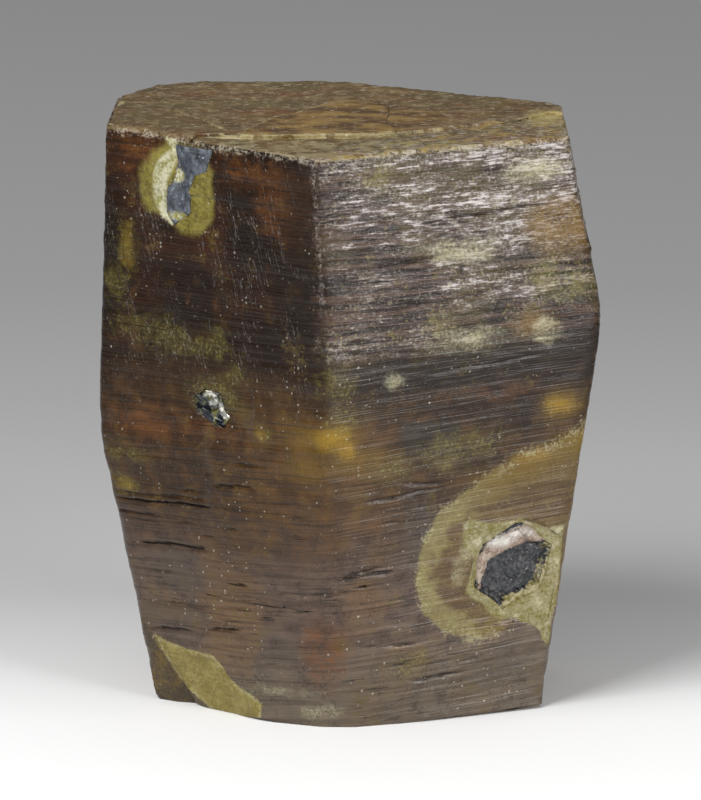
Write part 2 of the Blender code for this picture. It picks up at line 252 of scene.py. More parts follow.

# %% [markdown]
# The outlines
#
# Each outline is a few points, in millimetres round and up. The halo is a crescent of altered, yellow
# crystal about the large grain, the platform is the flaked skin inside it, and the chip and its recess
# are the broken base corner. The sheen is where the striations are rough enough to break the light,
# and where the material paints its highlight.

# %% Outlines on the sides
OUTLINES = {
    "halo": (
        (10.8, 10.7), (9.5, 9.95), (8.9, 9.62), (8.25, 9.34), (6.69, 8.85), (5.49, 8.08), (4.18, 7.48), (3.46, 6.5),
        (3.04, 5.12), (3.43, 4.02), (4.61, 3.15), (6.3, 2.71), (7.32, 2.96), (7.15, 3.5), (8.3, 3.2), (9.0, 3.6),
        (9.8, 4.3), (10.3, 5.5), (10.5, 7.0), (11.1, 8.2), (11.2, 9.6),
    ),
    "platform": (
        (5.23, 6.88), (5.55, 7.09), (6.42, 6.81), (7.65, 6.89), (8.55, 6.49), (9.12, 6.5), (9.12, 5.76),
        (9.05, 4.53), (9.01, 3.46), (8.92, 2.35), (8.8, 2.26), (8.68, 2.72), (8.15, 3.15), (7.61, 3.38),
        (7.14, 3.36), (6.75, 3.64), (6.38, 4.0), (5.83, 4.18), (5.53, 4.55), (5.69, 5.07), (5.83, 5.59),
        (5.33, 6.16),
    ),
    "top_halo": (
        (-8.28, 19.79), (-9.02, 19.36), (-9.38, 18.8), (-9.56, 17.92), (-9.25, 17.27), (-8.49, 17.1),
        (-7.72, 16.71), (-6.84, 16.71), (-6.35, 17.13), (-6.19, 17.96), (-6.24, 18.99), (-6.69, 19.34),
        (-6.88, 19.6),
    ),
    "cream_rim": (
        (-8.8, 20.1), (-8.07, 20.1), (-7.88, 19.49), (-7.99, 19.07), (-8.16, 18.71), (-8.4, 18.31), (-8.46, 17.51),
        (-8.19, 17.13), (-7.64, 17.56), (-7.76, 17.31), (-8.18, 16.9), (-8.7, 17.11), (-9.01, 17.78),
        (-8.98, 18.68), (-8.69, 19.2), (-8.24, 19.49), (-8.37, 19.71),
    ),
    "chip": (
        (-9.77, 2.38), (-9.27, 2.25), (-8.6, 2.14), (-7.87, 2.06), (-6.96, 2.04), (-6.48, 1.74), (-6.17, 1.39),
        (-5.51, 1.04), (-4.82, 0.87), (-4.26, 0.58), (-4.39, -0.1), (-7.4, -0.1), (-8.37, 0.39), (-9.2, 0.86),
        (-9.43, 1.41), (-9.64, 1.89),
    ),
    "recess": (
        (-10.15, 2.9), (-9.86, 2.5), (-9.71, 1.99), (-9.43, 1.34), (-9.15, 0.72), (-8.4, 0.29), (-7.4, -0.1),
        (-9.9, -0.1), (-10.6, 0.4), (-10.5, 1.6),
    ),
    "sheen": (
        (-1.14, 20.6), (12.6, 20.6), (12.36, 19.0), (11.6, 17.23), (10.4, 15.65), (9.7, 13.65), (8.42, 13.21),
        (5.58, 13.15), (2.08, 13.08), (-0.6, 12.92), (-0.97, 13.5), (-1.1, 17.0),
    ),
    "warm": (
        (-4.83, 11.26), (-0.67, 11.76), (2.19, 10.09), (2.26, 7.28), (-0.74, 6.12), (-3.96, 6.49), (-5.48, 8.41),
    ),
    # edge_line: the front edge, where a pale line is painted, partly wear and partly painted highlight
    "edge_line": (
        (-1.36, 19.95), (-1.25, 18.5), (-1.14, 17.16), (-1.08, 16.43), (-0.98, 15.0), (-1.08, 16.43),
        (-1.14, 17.16), (-1.25, 18.5),
    ),
    "slate": ((2.16, 10.7), (3.98, 10.66), (4.98, 10.41), (4.76, 9.71), (3.37, 9.44), (2.39, 9.62)),
}
for name, outline in OUTLINES.items():
    keep(mesh, name, outside_by(flat, outline))

# %% Blotches on the sides, as middle round and up, then half width and half height
BLOTCHES = {
    "glow": (
        (-0.5, 10.35, 0.75, 0.4), (-1.7, 10.25, 0.6, 0.35), (0.4, 9.5, 0.8, 0.3), (-1.6, 9.3, 0.6, 0.35),
        (8.7, 16.9, 1.0, 0.9), (8.59, 10.75, 0.45, 0.45), (7.5, 13.76, 0.45, 0.3), (9.5, 9.4, 0.8, 0.35),
        (7.1, 8.4, 0.9, 0.18), (-9.55, 0.6, 0.5, 0.35), (14.6, 7.2, 1.2, 0.9), (-17.5, 12.4, 1.4, 0.8),
        (21.0, 15.5, 1.2, 0.9),
    ),
    "fleck": (
        (-10.01, 15.96, 0.22, 0.5), (-3.7, 10.19, 0.3, 0.26), (-10.38, 8.67, 0.5, 0.18), (-10.32, 7.63, 0.42, 0.3),
        (-9.59, 13.26, 0.6, 0.22), (-8.55, 13.24, 0.35, 0.4), (3.86, 13.96, 0.35, 0.3), (-7.6, 12.9, 1.5, 0.3),
        (2.68, 1.94, 0.5, 0.25), (3.4, 2.3, 0.35, 0.25), (1.33, 19.05, 0.3, 0.25), (-0.14, 11.01, 0.5, 0.35),
        (-0.4, 12.2, 0.6, 0.4), (4.4, 9.5, 1.1, 0.6), (2.0, 9.1, 0.6, 0.3), (5.9, 9.7, 0.7, 0.45),
        (-6.1, 11.2, 1.1, 0.65), (-10.4, 14.6, 0.3, 0.5), (-5.0, 12.0, 0.4, 0.3), (8.9, 14.9, 0.5, 0.35),
        (8.1, 15.2, 0.4, 0.5), (-6.0, 13.1, 0.5, 0.5), (16.5, 13.0, 0.5, 0.35), (19.2, 6.4, 0.7, 0.3),
        (-15.2, 5.1, 0.5, 0.4), (-20.5, 9.3, 0.6, 0.3), (23.4, 11.0, 0.5, 0.4), (-12.6, 10.2, 0.4, 0.3),
    ),
    "core": (
        (-0.6, 10.4, 0.6, 0.3), (0.0, 9.95, 0.3, 0.25), (8.6, 10.8, 0.3, 0.2), (-10.01, 15.96, 0.10, 0.30),
        (-3.75, 10.2, 0.16, 0.14), (7.9, 9.05, 0.5, 0.2), (9.9, 9.6, 0.5, 0.3), (-10.3, 7.6, 0.18, 0.14),
    ),
    "corner": ((12.6, 19.7, 1.5, 0.6),),
    # dark: darker patches of the skin, with painted shade along the left edge
    "dark": (
        (-10.9, 15.2, 0.8, 3.6), (-7.6, 15.2, 2.2, 0.5), (-4.6, 16.2, 0.9, 1.4), (-3.4, 13.6, 2.0, 0.7),
        (5.2, 12.2, 4.4, 0.6), (9.0, 11.6, 1.6, 0.6), (7.2, 10.6, 1.6, 0.35), (-20.0, 14.0, 3.0, 1.5),
        (18.0, 15.0, 3.0, 1.2),
    ),
    # bright: where the painted sheen highlight is painted brighter
    "bright": (
        (7.8, 19.3, 4.4, 0.6), (2.4, 19.45, 3.4, 0.22), (4.8, 17.5, 1.3, 0.45), (8.0, 17.9, 2.4, 0.4),
        (6.6, 16.6, 1.8, 0.25), (2.2, 13.5, 2.4, 0.22), (1.6, 18.5, 1.5, 0.35), (6.4, 15.0, 2.0, 0.2),
        (-0.6, 13.4, 0.6, 0.4),
    ),
    # shaded: where the painted sheen is painted in shade
    "shaded": (
        (2.4, 16.4, 1.8, 0.35), (7.6, 15.6, 1.6, 0.3), (2.0, 15.0, 2.2, 0.3), (9.4, 14.3, 1.0, 0.5),
        (0.9, 19.1, 1.6, 0.12), (5.0, 14.1, 1.8, 0.2),
    ),
    "pale": (
        (7.92, 18.9, 0.9, 0.45), (7.99, 13.43, 0.35, 0.4), (1.89, 12.22, 0.3, 0.22), (-1.34, 0.55, 0.75, 0.2),
        (8.83, 3.66, 0.16, 0.5), (7.41, 3.78, 0.5, 0.2), (5.39, 5.81, 0.22, 0.5), (5.1, 5.2, 0.16, 0.3),
        (-3.6, 1.17, 0.6, 0.07), (-4.9, 0.95, 0.4, 0.14), (5.2, 13.4, 1.3, 0.35), (4.9, 16.4, 1.2, 0.4),
        (18.1, 17.2, 0.7, 0.3), (-16.0, 16.0, 0.6, 0.3), (13.2, 2.3, 0.5, 0.2),
    ),
    "rust": (
        (-1.2, 2.6, 0.9, 1.2), (-2.4, 18.3, 1.5, 1.3), (-4.6, 19.0, 1.2, 0.4), (-9.4, 19.2, 1.2, 0.6),
        (-7.0, 10.1, 2.2, 0.25), (3.6, 16.9, 2.0, 0.25), (6.4, 11.6, 1.8, 0.25), (0.6, 18.9, 0.9, 0.5),
        (-9.2, 9.9, 1.2, 0.5), (15.0, 16.4, 1.4, 0.5), (-19.0, 17.2, 1.6, 0.5), (22.0, 4.1, 1.6, 0.8),
        (-14.0, 8.4, 1.2, 0.6),
    ),
    "grey": (
        (-6.61, 8.28, 0.09, 0.75), (-4.3, 10.5, 0.22, 0.3), (-8.4, 4.9, 1.2, 0.8), (-8.9, 3.2, 1.5, 0.6),
        (3.2, 6.8, 0.8, 1.3), (0.85, 8.2, 0.16, 0.1), (6.9, 1.4, 1.5, 0.5), (-3.2, 2.6, 0.9, 0.5),
        (17.4, 4.2, 1.8, 0.8), (-21.0, 4.4, 1.8, 0.9),
    ),
}
for name, ovals in BLOTCHES.items():
    keep(mesh, name, outside_ovals(flat, ovals))
print("drawn fields:", [attribute.name for attribute in mesh.attributes if attribute.data_type == "FLOAT"])

# %% [markdown]
# The top's own drawings
#
# The top isn't on the unrolled skin, so its outlines are plain X and Y. The mound is the highest of the
# thin layers, warm brown and lit along its back, and the worn margin along the right front rim carries
# the same broken sheen as the face below it, painted there as pale highlight dashes.

# %% Outlines on the top
TOP_OUTLINES = {
    "mound": (
        (-3.72, -3.54), (-3.42, -2.44), (-3.12, -1.94), (-2.52, -0.54), (-1.62, 0.46), (-0.82, 1.66), (-0.12, 2.36),
        (0.88, 2.26), (1.7, 1.2), (3.4, 0.4), (2.6, -1.6), (1.68, -3.0), (0.38, -3.54), (-0.92, -3.54),
        (-2.32, -3.74),
    ),
    "margin": (
        (-1.2, -7.6), (-0.12, -5.2), (1.72, -3.2), (3.4, -1.9), (5.1, -0.7), (6.9, 1.0), (9.0, 1.0), (9.0, -8.0),
    ),
}
for name, outline in TOP_OUTLINES.items():
    keep(mesh, name, np.where(on_top, outside_by(places[:, :2], outline), FAR))
keep(mesh, "top", on_top.astype(float))

STEP_LINES = (
    ((-8.0, 1.2), (-7.6, 2.1), (-6.9, 1.7), (-6.2, 0.9), (-5.5, 0.0), (-5.0, -0.84), (-4.5, -1.74), (-4.2, -2.5)),
    ((-5.4, 2.8), (-4.6, 2.96), (-3.0, 2.8), (-1.6, 2.86), (-1.0, 3.7), (-0.1, 4.36), (1.1, 3.66)),
    ((-3.72, -3.54), (-3.42, -2.44), (-3.12, -1.94), (-2.52, -0.54), (-1.62, 0.46), (-0.82, 1.66), (-0.12, 2.36)),
    ((-4.5, -3.4), (-3.6, -3.74), (-2.3, -3.74), (-0.9, -3.54), (0.38, -3.54), (1.7, -3.04), (3.08, -2.24)),
)
from_step = np.full(len(places), FAR)
for line in STEP_LINES:
    there_and_back = line + line[-2:0:-1]
    from_step = np.minimum(from_step, np.abs(outside_by(places[:, :2], there_and_back)))
keep(mesh, "step", np.where(on_top, from_step, FAR))

# %% [markdown]
# Faces without ledges
#
# The solid's ledges are coarser than the real ridges, so they go first. Averaging neighbours would also
# melt the corners between the faces. Instead the furthest that any corner reaches towards each face's
# own side, height by height, is that face's profile. Once blurred it is the smooth face, and each corner
# moves to the face nearest to it, a little inwards where two faces meet.


# %% Find the smooth profile of each face
FACE_TURNS = (233.8, 293.8, 1.0, 32.0, 62.0, 91.0, 114.0, 148.0, 176.7, 204.0, 330.0, 250.0, 268.0, 286.0)
FACE_ROWS = 300
ROWS_PER_MM = FACE_ROWS / 20.0
BLUR_ROWS, BLUR_REACH, PAD_ROWS = 7.0, 24, 40
LOWEST_LEVEL, HIGHEST_LEVEL = 0.25, 19.4
ways = np.array([(math.cos(math.radians(turn)), math.sin(math.radians(turn))) for turn in FACE_TURNS])


def face_profile(places, way):
    """How far out one face reaches at every height, with its ledges blurred away."""
    levels = (np.arange(FACE_ROWS) + 0.5) / ROWS_PER_MM
    row = np.clip((places[:, 2] * ROWS_PER_MM).astype(int), 0, FACE_ROWS - 1)
    most = np.full(FACE_ROWS, -1.0)
    np.maximum.at(most, row, places[:, :2] @ way)
    seen = np.flatnonzero((most > 0) & (levels > LOWEST_LEVEL) & (levels < HIGHEST_LEVEL))
    inner = np.interp(levels[seen[0]:seen[-1] + 1], levels[seen], most[seen])
    padded = np.pad(inner, PAD_ROWS, mode="reflect", reflect_type="odd")
    weights = np.exp(-0.5 * (np.arange(-BLUR_REACH, BLUR_REACH + 1) / BLUR_ROWS) ** 2)
    smooth = np.convolve(padded, weights / weights.sum(), "same")
    heights = (np.arange(len(padded)) - PAD_ROWS + seen[0] + 0.5) / ROWS_PER_MM
    return np.interp(places[:, 2], heights, smooth)


reaches = np.column_stack([face_profile(places, way) for way in ways])
print("faces measured:", len(ways))


# %% Move each corner to its nearest face
def read(mesh, name):
    values = np.empty(len(mesh.vertices), np.float32)
    mesh.attributes[name].data.foreach_get("value", values)
    return values


broken_faces = np.minimum.reduce([
    read(mesh, "chip"), read(mesh, "recess"), np.maximum(read(mesh, "platform"), flat[:, 0] - 8.5)
])
CALM_FADE, GRAIN_CLEAR = 0.3, 0.1
calm = np.clip(broken_faces / CALM_FADE, 0.0, 1.0)
for node in ("top_edge_grain", "small_bright_grain", "large_dark_grain"):
    least, most = (np.array(corner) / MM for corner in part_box(node))
    beyond = np.maximum(least - places, places - most).max(axis=1)
    calm = np.minimum(calm, np.clip((beyond - GRAIN_CLEAR) / CALM_FADE, 0.0, 1.0))
free = calm * np.clip((places[:, 2] - 0.15) / 0.2, 0, 1) * np.clip((19.55 - places[:, 2]) / 0.3, 0, 1) * ~on_top
BLUNT_DEPTH, BLUNT_WIDTH, LONGEST_SHIFT = 0.07, 0.35, 0.4
level = places[:, :2].copy()
for turn in range(len(ways)):
    over = np.minimum(reaches[:, turn] - level @ ways[turn], 0.0)
    level += over[:, None] * ways[turn]
slack = reaches - level @ ways.T
order = np.argsort(slack, axis=1)[:, :2]
nearest, second = np.take_along_axis(slack, order, axis=1).T
wanted = BLUNT_DEPTH * np.clip(1.0 - second / BLUNT_WIDTH, 0.0, 1.0) ** 2
level += (nearest - wanted)[:, None] * ways[order[:, 0]]
shift = level - places[:, :2]
free = free * (np.linalg.norm(shift, axis=1) < LONGEST_SHIFT)
places[:, :2] += shift * free[:, None]
mesh.vertices.foreach_set("co", (places * MM).ravel())
mesh.update()
normals = normals_of(mesh)
print("corners moved to smooth faces:", int((free > 0).sum()))

# %% [markdown]
# Growth ridges in the mesh
#
# Every layer that grew leaves a level ridge. The layers tip a few degrees low on the crystal, so a
# height is first corrected by that tip. Noise that is stretched along the layers then moves each
# corner in or out: long waves everywhere, and short broken ones where the sheen is.


# %% Move the skin by its ridges
TIP_SLOPE, TIP_TOP, TIP_SPAN = 0.085, 16.0, 8.0
BROAD_WAVE, FINE_WAVE, SHORT_WAVE, SHORTER_WAVE = 0.030, 0.012, 0.045, 0.034


def layer_height(x, z):
    """The height of the growth layer through a place: the layers tip to the right below the waist."""
    share = min(max((TIP_TOP - z) / TIP_SPAN, 0.0), 1.0)
    return z - TIP_SLOPE * x * share * share * (3.0 - 2.0 * share)


def ridge(place, rough):
    x, y, z = place
    level = layer_height(x, z) + 0.10 * noise.noise(Vector((x * 0.3, y * 0.3, z * 0.2)))
    broad = noise.noise(Vector((x * 0.12, y * 0.12, level * 1.6)))
    fine = noise.noise(Vector((x * 0.22, y * 0.22 + 31.0, level * 7.0)))
    short = noise.noise(Vector((x * 0.6, y * 0.6 + 57.0, level * 4.5)))
    shorter = noise.noise(Vector((x * 1.5, y * 1.5 + 83.0, level * 7.5)))
    return BROAD_WAVE * broad + FINE_WAVE * fine + rough * (SHORT_WAVE * short + SHORTER_WAVE * shorter)


ROUGH_PLAIN = 0.10
sheen = np.clip(0.5 - read(mesh, "sheen") / 1.2, 0.0, 1.0)
rough = ROUGH_PLAIN + (1.0 - ROUGH_PLAIN) * sheen
in_or_out = np.array([ridge(place, share) for place, share in zip(places, rough)]) * calm
base = places[:, 2] < 0.03
top_wave = np.array([
    0.020 * noise.noise(Vector((x * 0.7, y * 2.4, 5.0))) + 0.014 * noise.noise(Vector((x * 2.4, y * 5.0, 9.0)))
    for x, y, _ in places
])
in_or_out = np.where(on_top, top_wave, in_or_out)
in_or_out[base] = 0.0
print("ridges reach", round(float(np.abs(in_or_out).max()), 3), "mm")

# %% [markdown]
# Cracks
#
# The crystal parts along its layers, which shows as dark open lines. Each crack is drawn as two ends on
# the unrolled skin. The row of corners nearest to the line goes inwards, and a field remembers how
# deep, so that the material can paint shade into it.

# %% Sink the cracks
CRACKS = (
    ((-10.74, 7.29), (-6.62, 7.60), 0.07), ((-10.83, 7.05), (-6.40, 7.34), 0.13), ((-6.42, 8.16), (-4.14, 8.27), 0.10),
    ((-8.13, 7.76), (-6.91, 7.82), 0.07), ((-11.0, 6.55), (-8.95, 6.73), 0.08), ((-5.97, 6.64), (-5.0, 6.66), 0.08),
    ((-7.3, 6.2), (-6.17, 6.28), 0.09), ((-10.1, 5.62), (-6.81, 5.85), 0.15), ((-8.2, 6.62), (-7.3, 6.68), 0.08),
    ((-9.89, 4.64), (-8.36, 4.79), 0.06), ((-6.18, 4.72), (-4.6, 4.72), 0.10), ((-3.26, 4.75), (-0.77, 4.81), 0.06),
    ((-9.4, 3.59), (-6.59, 3.80), 0.06), ((-6.59, 3.80), (-4.69, 3.95), 0.05), ((-9.93, 2.61), (-7.76, 2.78), 0.09),
    ((-7.1, 2.95), (-4.97, 3.22), 0.10), ((-0.64, 5.34), (2.2, 5.53), 0.13), ((-0.4, 5.44), (1.8, 5.74), 0.09),
    ((-0.83, 4.87), (1.44, 5.12), 0.07), ((2.94, 1.52), (5.63, 1.61), 0.12), ((1.83, 2.05), (2.93, 2.2), 0.09),
    ((1.7, 2.84), (3.52, 2.84), 0.07), ((5.11, 2.02), (6.26, 2.1), 0.06), ((0.6, 8.02), (4.24, 8.3), 0.10),
    ((2.21, 8.53), (4.22, 8.47), 0.09), ((1.1, 7.2), (2.4, 7.3), 0.05), ((-5.4, 9.0), (-3.4, 9.15), 0.05),
    ((3.3, 12.3), (8.2, 12.6), 0.05), ((1.0, 14.6), (6.2, 14.9), 0.09), ((2.8, 17.4), (8.6, 17.7), 0.09),
    ((0.1, 16.0), (4.4, 16.3), 0.07), ((12.0, 5.5), (15.4, 5.9), 0.12), ((16.2, 9.4), (20.5, 9.9), 0.10),
    ((-19.5, 6.0), (-14.4, 6.2), 0.12), ((-22.6, 11.2), (-18.3, 11.4), 0.09), ((20.0, 3.4), (24.0, 3.5), 0.11),
    ((-24.5, 3.1), (-20.0, 3.3), 0.09), ((13.0, 13.1), (16.8, 13.2), 0.08), ((-16.8, 14.5), (-12.8, 14.7), 0.07),
)
UPRIGHT_CRACKS = (
    ((16.45, 4.85), (14.5, 5.1), 0.10), ((15.6, 5.5), (14.3, 5.6), 0.06), ((17.6, -2.6), (16.4, -2.75), 0.04),
    ((9.1, -6.7), (7.6, -6.62), 0.05), ((15.0, 19.0), (12.8, 19.2), 0.08), ((9.0, -18.0), (6.9, -18.2), 0.07),
)
CRACK_REACH = 0.040
CRACK_TAPER = 0.5
opened = np.zeros(len(places))
for cracks, along, across in ((CRACKS, 0, 1), (UPRIGHT_CRACKS, 1, 0)):
    for (start, first_end), (end, last_end), depth in cracks:
        share = (flat[:, along] - start) / (end - start)
        line = first_end + (last_end - first_end) * share
        line += 0.025 * np.sin(flat[:, along] * 2.3 + start)
        near = (share > 0) & (share < 1) & (np.abs(flat[:, across] - line) < CRACK_REACH) & ~on_top
        ends = np.clip(np.minimum(share, 1 - share) * abs(end - start) / CRACK_TAPER, 0.0, 1.0)
        opened = np.where(near, np.maximum(opened, depth * ends), opened)
keep(mesh, "crack", opened / 0.15)
print("cracked corners:", int((opened > 0).sum()))

# %% [markdown]
# The moved skin
#
# Ridges and cracks move each corner along its own normal. The rims get small bites as well, because on
# the real crystal they are chipped all along.

# %% Put the skin in place
places += normals * (in_or_out - opened)[:, None]
RIM_CHIPS = 0.10
for index in np.flatnonzero((places[:, 2] > 19.55) & (normals[:, 2] > 0.12) & (normals[:, 2] < 0.93)):
    x, y, z = places[index]
    bite = max(0.0, noise.noise(Vector((x * 1.7, y * 1.7, z * 2.5))) + 0.3)
    places[index] -= normals[index] * RIM_CHIPS * bite
places[:, 2] = np.clip(places[:, 2], 0.0, 20.0)
mesh.vertices.foreach_set("co", (places * MM).ravel())
mesh.update()

# %% [markdown]
# Where edges are worn pale
#
# Handling rubs the dark skin off whatever stands out. A corner stands out when its neighbours lie
# behind its own tangent plane, so the mean of that slope over its edges is a ready map of the wear.


# %% Map the wear
def neighbours(mesh):
    ends = np.empty(len(mesh.edges) * 2, np.int32)
    mesh.edges.foreach_get("vertices", ends)
    return ends.reshape(-1, 2).T


def mean_beside(values, first, second):
    """The mean of each corner's neighbours, for one column of values."""
    count = np.maximum(np.bincount(first, minlength=len(values)) + np.bincount(second, minlength=len(values)), 1)
    total = np.bincount(first, values[second], len(values)) + np.bincount(second, values[first], len(values))
    return total / count


def wear_of(mesh, rounds):
    places = corners_of(mesh)
    normals = normals_of(mesh)
    first, second = neighbours(mesh)
    away = places[second] - places[first]
    away /= np.maximum(np.linalg.norm(away, axis=1), 1e-6)[:, None]
    slope = np.bincount(first, -(normals[first] * away).sum(1), len(places))
    slope += np.bincount(second, (normals[second] * away).sum(1), len(places))
    wear = slope / np.maximum(np.bincount(first, minlength=len(places)) + np.bincount(second, minlength=len(places)), 1)
    for _ in range(rounds):
        wear = (wear + mean_beside(wear, first, second)) / 2
    return wear


wear = wear_of(mesh, 2)
keep(mesh, "wear", wear)
print("wear from", round(float(wear.min()), 2), "to", round(float(wear.max()), 2))

# %% [markdown]
# Building blocks for the materials
#
# Materials here are grown from node groups. A few small helpers keep their making short: one adds a
# node, one feeds a socket with a link or a plain number, and the rest are the usual steps of a mix.
# They all work on the node tree that is being built just then, which is always called tree.


# %% Helpers that place nodes
def colour(code):
    """A hexadecimal colour as the linear red, green and blue that shaders use."""
    parts = [int(code[i:i + 2], 16) / 255 for i in (0, 2, 4)]
    return (*(p / 12.92 if p <= 0.04045 else ((p + 0.055) / 1.055) ** 2.4 for p in parts), 1.0)


def feed(socket, value):
    if isinstance(value, bpy.types.NodeSocket):
        tree.links.new(value, socket)
    elif isinstance(value, str):
        socket.default_value = colour(value)
    else:
        socket.default_value = value


def maths(operation, first, second=0.0):
    made = tree.nodes.new("ShaderNodeMath")
    made.operation = operation
    feed(made.inputs[0], first)
    feed(made.inputs[1], second)
    return made.outputs[0]


def times(*values):
    product = values[0]
    for value in values[1:]:
        product = maths("MULTIPLY", product, value)
    return product


def plus(*values):
    total = values[0]
    for value in values[1:]:
        total = maths("ADD", total, value)
    return total


def blend(share, below, above, mode="MIX"):
    made = tree.nodes.new("ShaderNodeMix")
    made.data_type = "RGBA"
    made.blend_type = mode
    feed(made.inputs["Factor"], share)
    feed(made.inputs["A"], below)
    feed(made.inputs["B"], above)
    return made.outputs["Result"]


def between(value, low, high, to_low=0.0, to_high=1.0):
    """Maps low to high smoothly on to two new ends, and holds them outside."""
    made = tree.nodes.new("ShaderNodeMapRange")
    made.interpolation_type = "SMOOTHSTEP"
    for socket, number in zip(made.inputs, (value, low, high, to_low, to_high)):
        feed(socket, number)
    return made.outputs["Result"]


def placed(vector, location=(0, 0, 0), turn=(0, 0, 0), scale=(1, 1, 1)):
    made = tree.nodes.new("ShaderNodeMapping")
    for name, value in (("Vector", vector), ("Location", location), ("Rotation", turn), ("Scale", scale)):
        feed(made.inputs[name], value)
    return made.outputs["Vector"]


def grain_noise(vector, scale=1.0, detail=3.0, roughness=0.55):
    made = tree.nodes.new("ShaderNodeTexNoise")
    for name, value in (("Vector", vector), ("Scale", scale), ("Detail", detail), ("Roughness", roughness)):
        feed(made.inputs[name], value)
    return made.outputs["Fac"]


def field(name):
    made = tree.nodes.new("ShaderNodeAttribute")
    made.attribute_name = name
    return made.outputs["Fac"]


def position_mm():
    """Object coordinates in millimetres."""
    source = tree.nodes.new("ShaderNodeTexCoord")
    return placed(source.outputs["Object"], scale=(1 / MM,) * 3)


def new_group(name, inputs, outputs):
    """An empty node group. Inputs are (name, kind, default) and outputs (name, kind)."""
    group = bpy.data.node_groups.new(name, "ShaderNodeTree")
    for title, kind, value in inputs:
        socket = group.interface.new_socket(title, in_out="INPUT", socket_type="NodeSocket" + kind)
        if value is not None:
            socket.default_value = value
    for title, kind in outputs:
        group.interface.new_socket(title, in_out="OUTPUT", socket_type="NodeSocket" + kind)
    return group, group.nodes.new("NodeGroupInput").outputs, group.nodes.new("NodeGroupOutput").inputs


def use(group, **values):
    """Places a group and feeds its inputs by name, with spaces written as underscores."""
    made = tree.nodes.new("ShaderNodeGroup")
    made.node_tree = group
    for name, value in values.items():
        feed(made.inputs[name.replace("_", " ")], value)
    return made.outputs


# %% [markdown]
# Shared effect: growth lines
#
# Layers show in colour as well as in relief. The group first straightens the tipped layers, as the mesh
# code does, and then stretches noise along them. Lines are long and soft, dashes are short and hard.

# %% Group: growth lines
lines_group, taken, given = new_group(
    "Growth lines",
    [("Position", "Vector", None), ("Fineness", "Float", 6.0), ("Reach", "Float", 0.25), ("Tip", "Float", TIP_SLOPE)],
    [("Layers", "Vector"), ("Lines", "Float"), ("Dashes", "Float")],
)
tree = lines_group
apart = tree.nodes.new("ShaderNodeSeparateXYZ")
feed(apart.inputs[0], taken["Position"])
tip = times(taken["Tip"], between(apart.outputs["Z"], TIP_TOP - TIP_SPAN, TIP_TOP, 1.0, 0.0))
level = maths("SUBTRACT", apart.outputs["Z"], times(apart.outputs["X"], tip))
wander = grain_noise(taken["Position"], 0.35, 1.0)
level = plus(level, times(wander, 0.14))
joined = tree.nodes.new("ShaderNodeCombineXYZ")
for axis, value in zip("XYZ", (apart.outputs["X"], apart.outputs["Y"], level)):
    feed(joined.inputs[axis], value)
stretch = tree.nodes.new("ShaderNodeCombineXYZ")
for axis, value in zip("XYZ", (taken["Reach"], taken["Reach"], taken["Fineness"])):
    feed(stretch.inputs[axis], value)
along = placed(joined.outputs[0], scale=stretch.outputs[0])
feed(given["Layers"], joined.outputs[0])
feed(given["Lines"], between(grain_noise(along, 1.0, 2.0, 0.65), 0.3, 0.7))
apart_dashes = placed(along, location=(13.0, 4.0, 7.0), scale=(3.2, 3.2, 1.3))
feed(given["Dashes"], between(grain_noise(apart_dashes, 1.0, 3.0, 0.7), 0.48, 0.66))

# %% [markdown]
# Shared effect: torn borders
#
# A drawn outline would look cut out with scissors. This group adds noise to the stored distance before
# it is turned into a mask, so that the border frays at the scale of the mineral's grains.

# %% Group: torn border
torn_group, taken, given = new_group(
    "Torn border",
    [("Distance", "Float", 0.0), ("Shake", "Float", 0.5), ("Softness", "Float", 0.05), ("Tearing", "Float", 0.2)],
    [("Mask", "Float")],
)
tree = torn_group
shake = times(maths("SUBTRACT", taken["Shake"], 0.5), times(taken["Tearing"], 3.0))
inner = times(taken["Softness"], -1.0)
feed(given["Mask"], between(plus(taken["Distance"], shake), inner, taken["Softness"], 1.0, 0.0))


def torn(name, softness, tearing, shake):
    """The mask of a stored distance, with its border torn by a noise."""
    return use(torn_group, Distance=field(name), Shake=shake, Softness=softness, Tearing=tearing)["Mask"]


# %% [markdown]
# Shared effect: specks
#
# Dust, pale grains and pits are all small dots at chance places. A Voronoi pattern gives each cell a
# dot and a chance value, and only the cells under the wanted share keep theirs.

# %% Group: specks
specks_group, taken, given = new_group(
    "Specks",
    [("Position", "Vector", None), ("Cells per mm", "Float", 3.0), ("Share", "Float", 0.2), ("Size", "Float", 0.2)],
    [("Mask", "Float"), ("Chance", "Float")],
)
tree = specks_group
cells = tree.nodes.new("ShaderNodeTexVoronoi")
feed(cells.inputs["Vector"], taken["Position"])
feed(cells.inputs["Scale"], taken["Cells per mm"])
pick = tree.nodes.new("ShaderNodeSeparateColor")
feed(pick.inputs[0], cells.outputs["Color"])
dot = maths("LESS_THAN", cells.outputs["Distance"], times(taken["Size"], pick.outputs["Green"]))
kept = maths("LESS_THAN", pick.outputs["Red"], taken["Share"])
feed(given["Mask"], times(dot, kept))
feed(given["Chance"], pick.outputs["Blue"])

# %% [markdown]
# Shared effect: scratches
#
# Scratches are long, hair-thin and go every way, but mostly up and down on this crystal. Noise that is
# turned and stretched a hundredfold gives hairs, and a second noise breaks them into lengths.

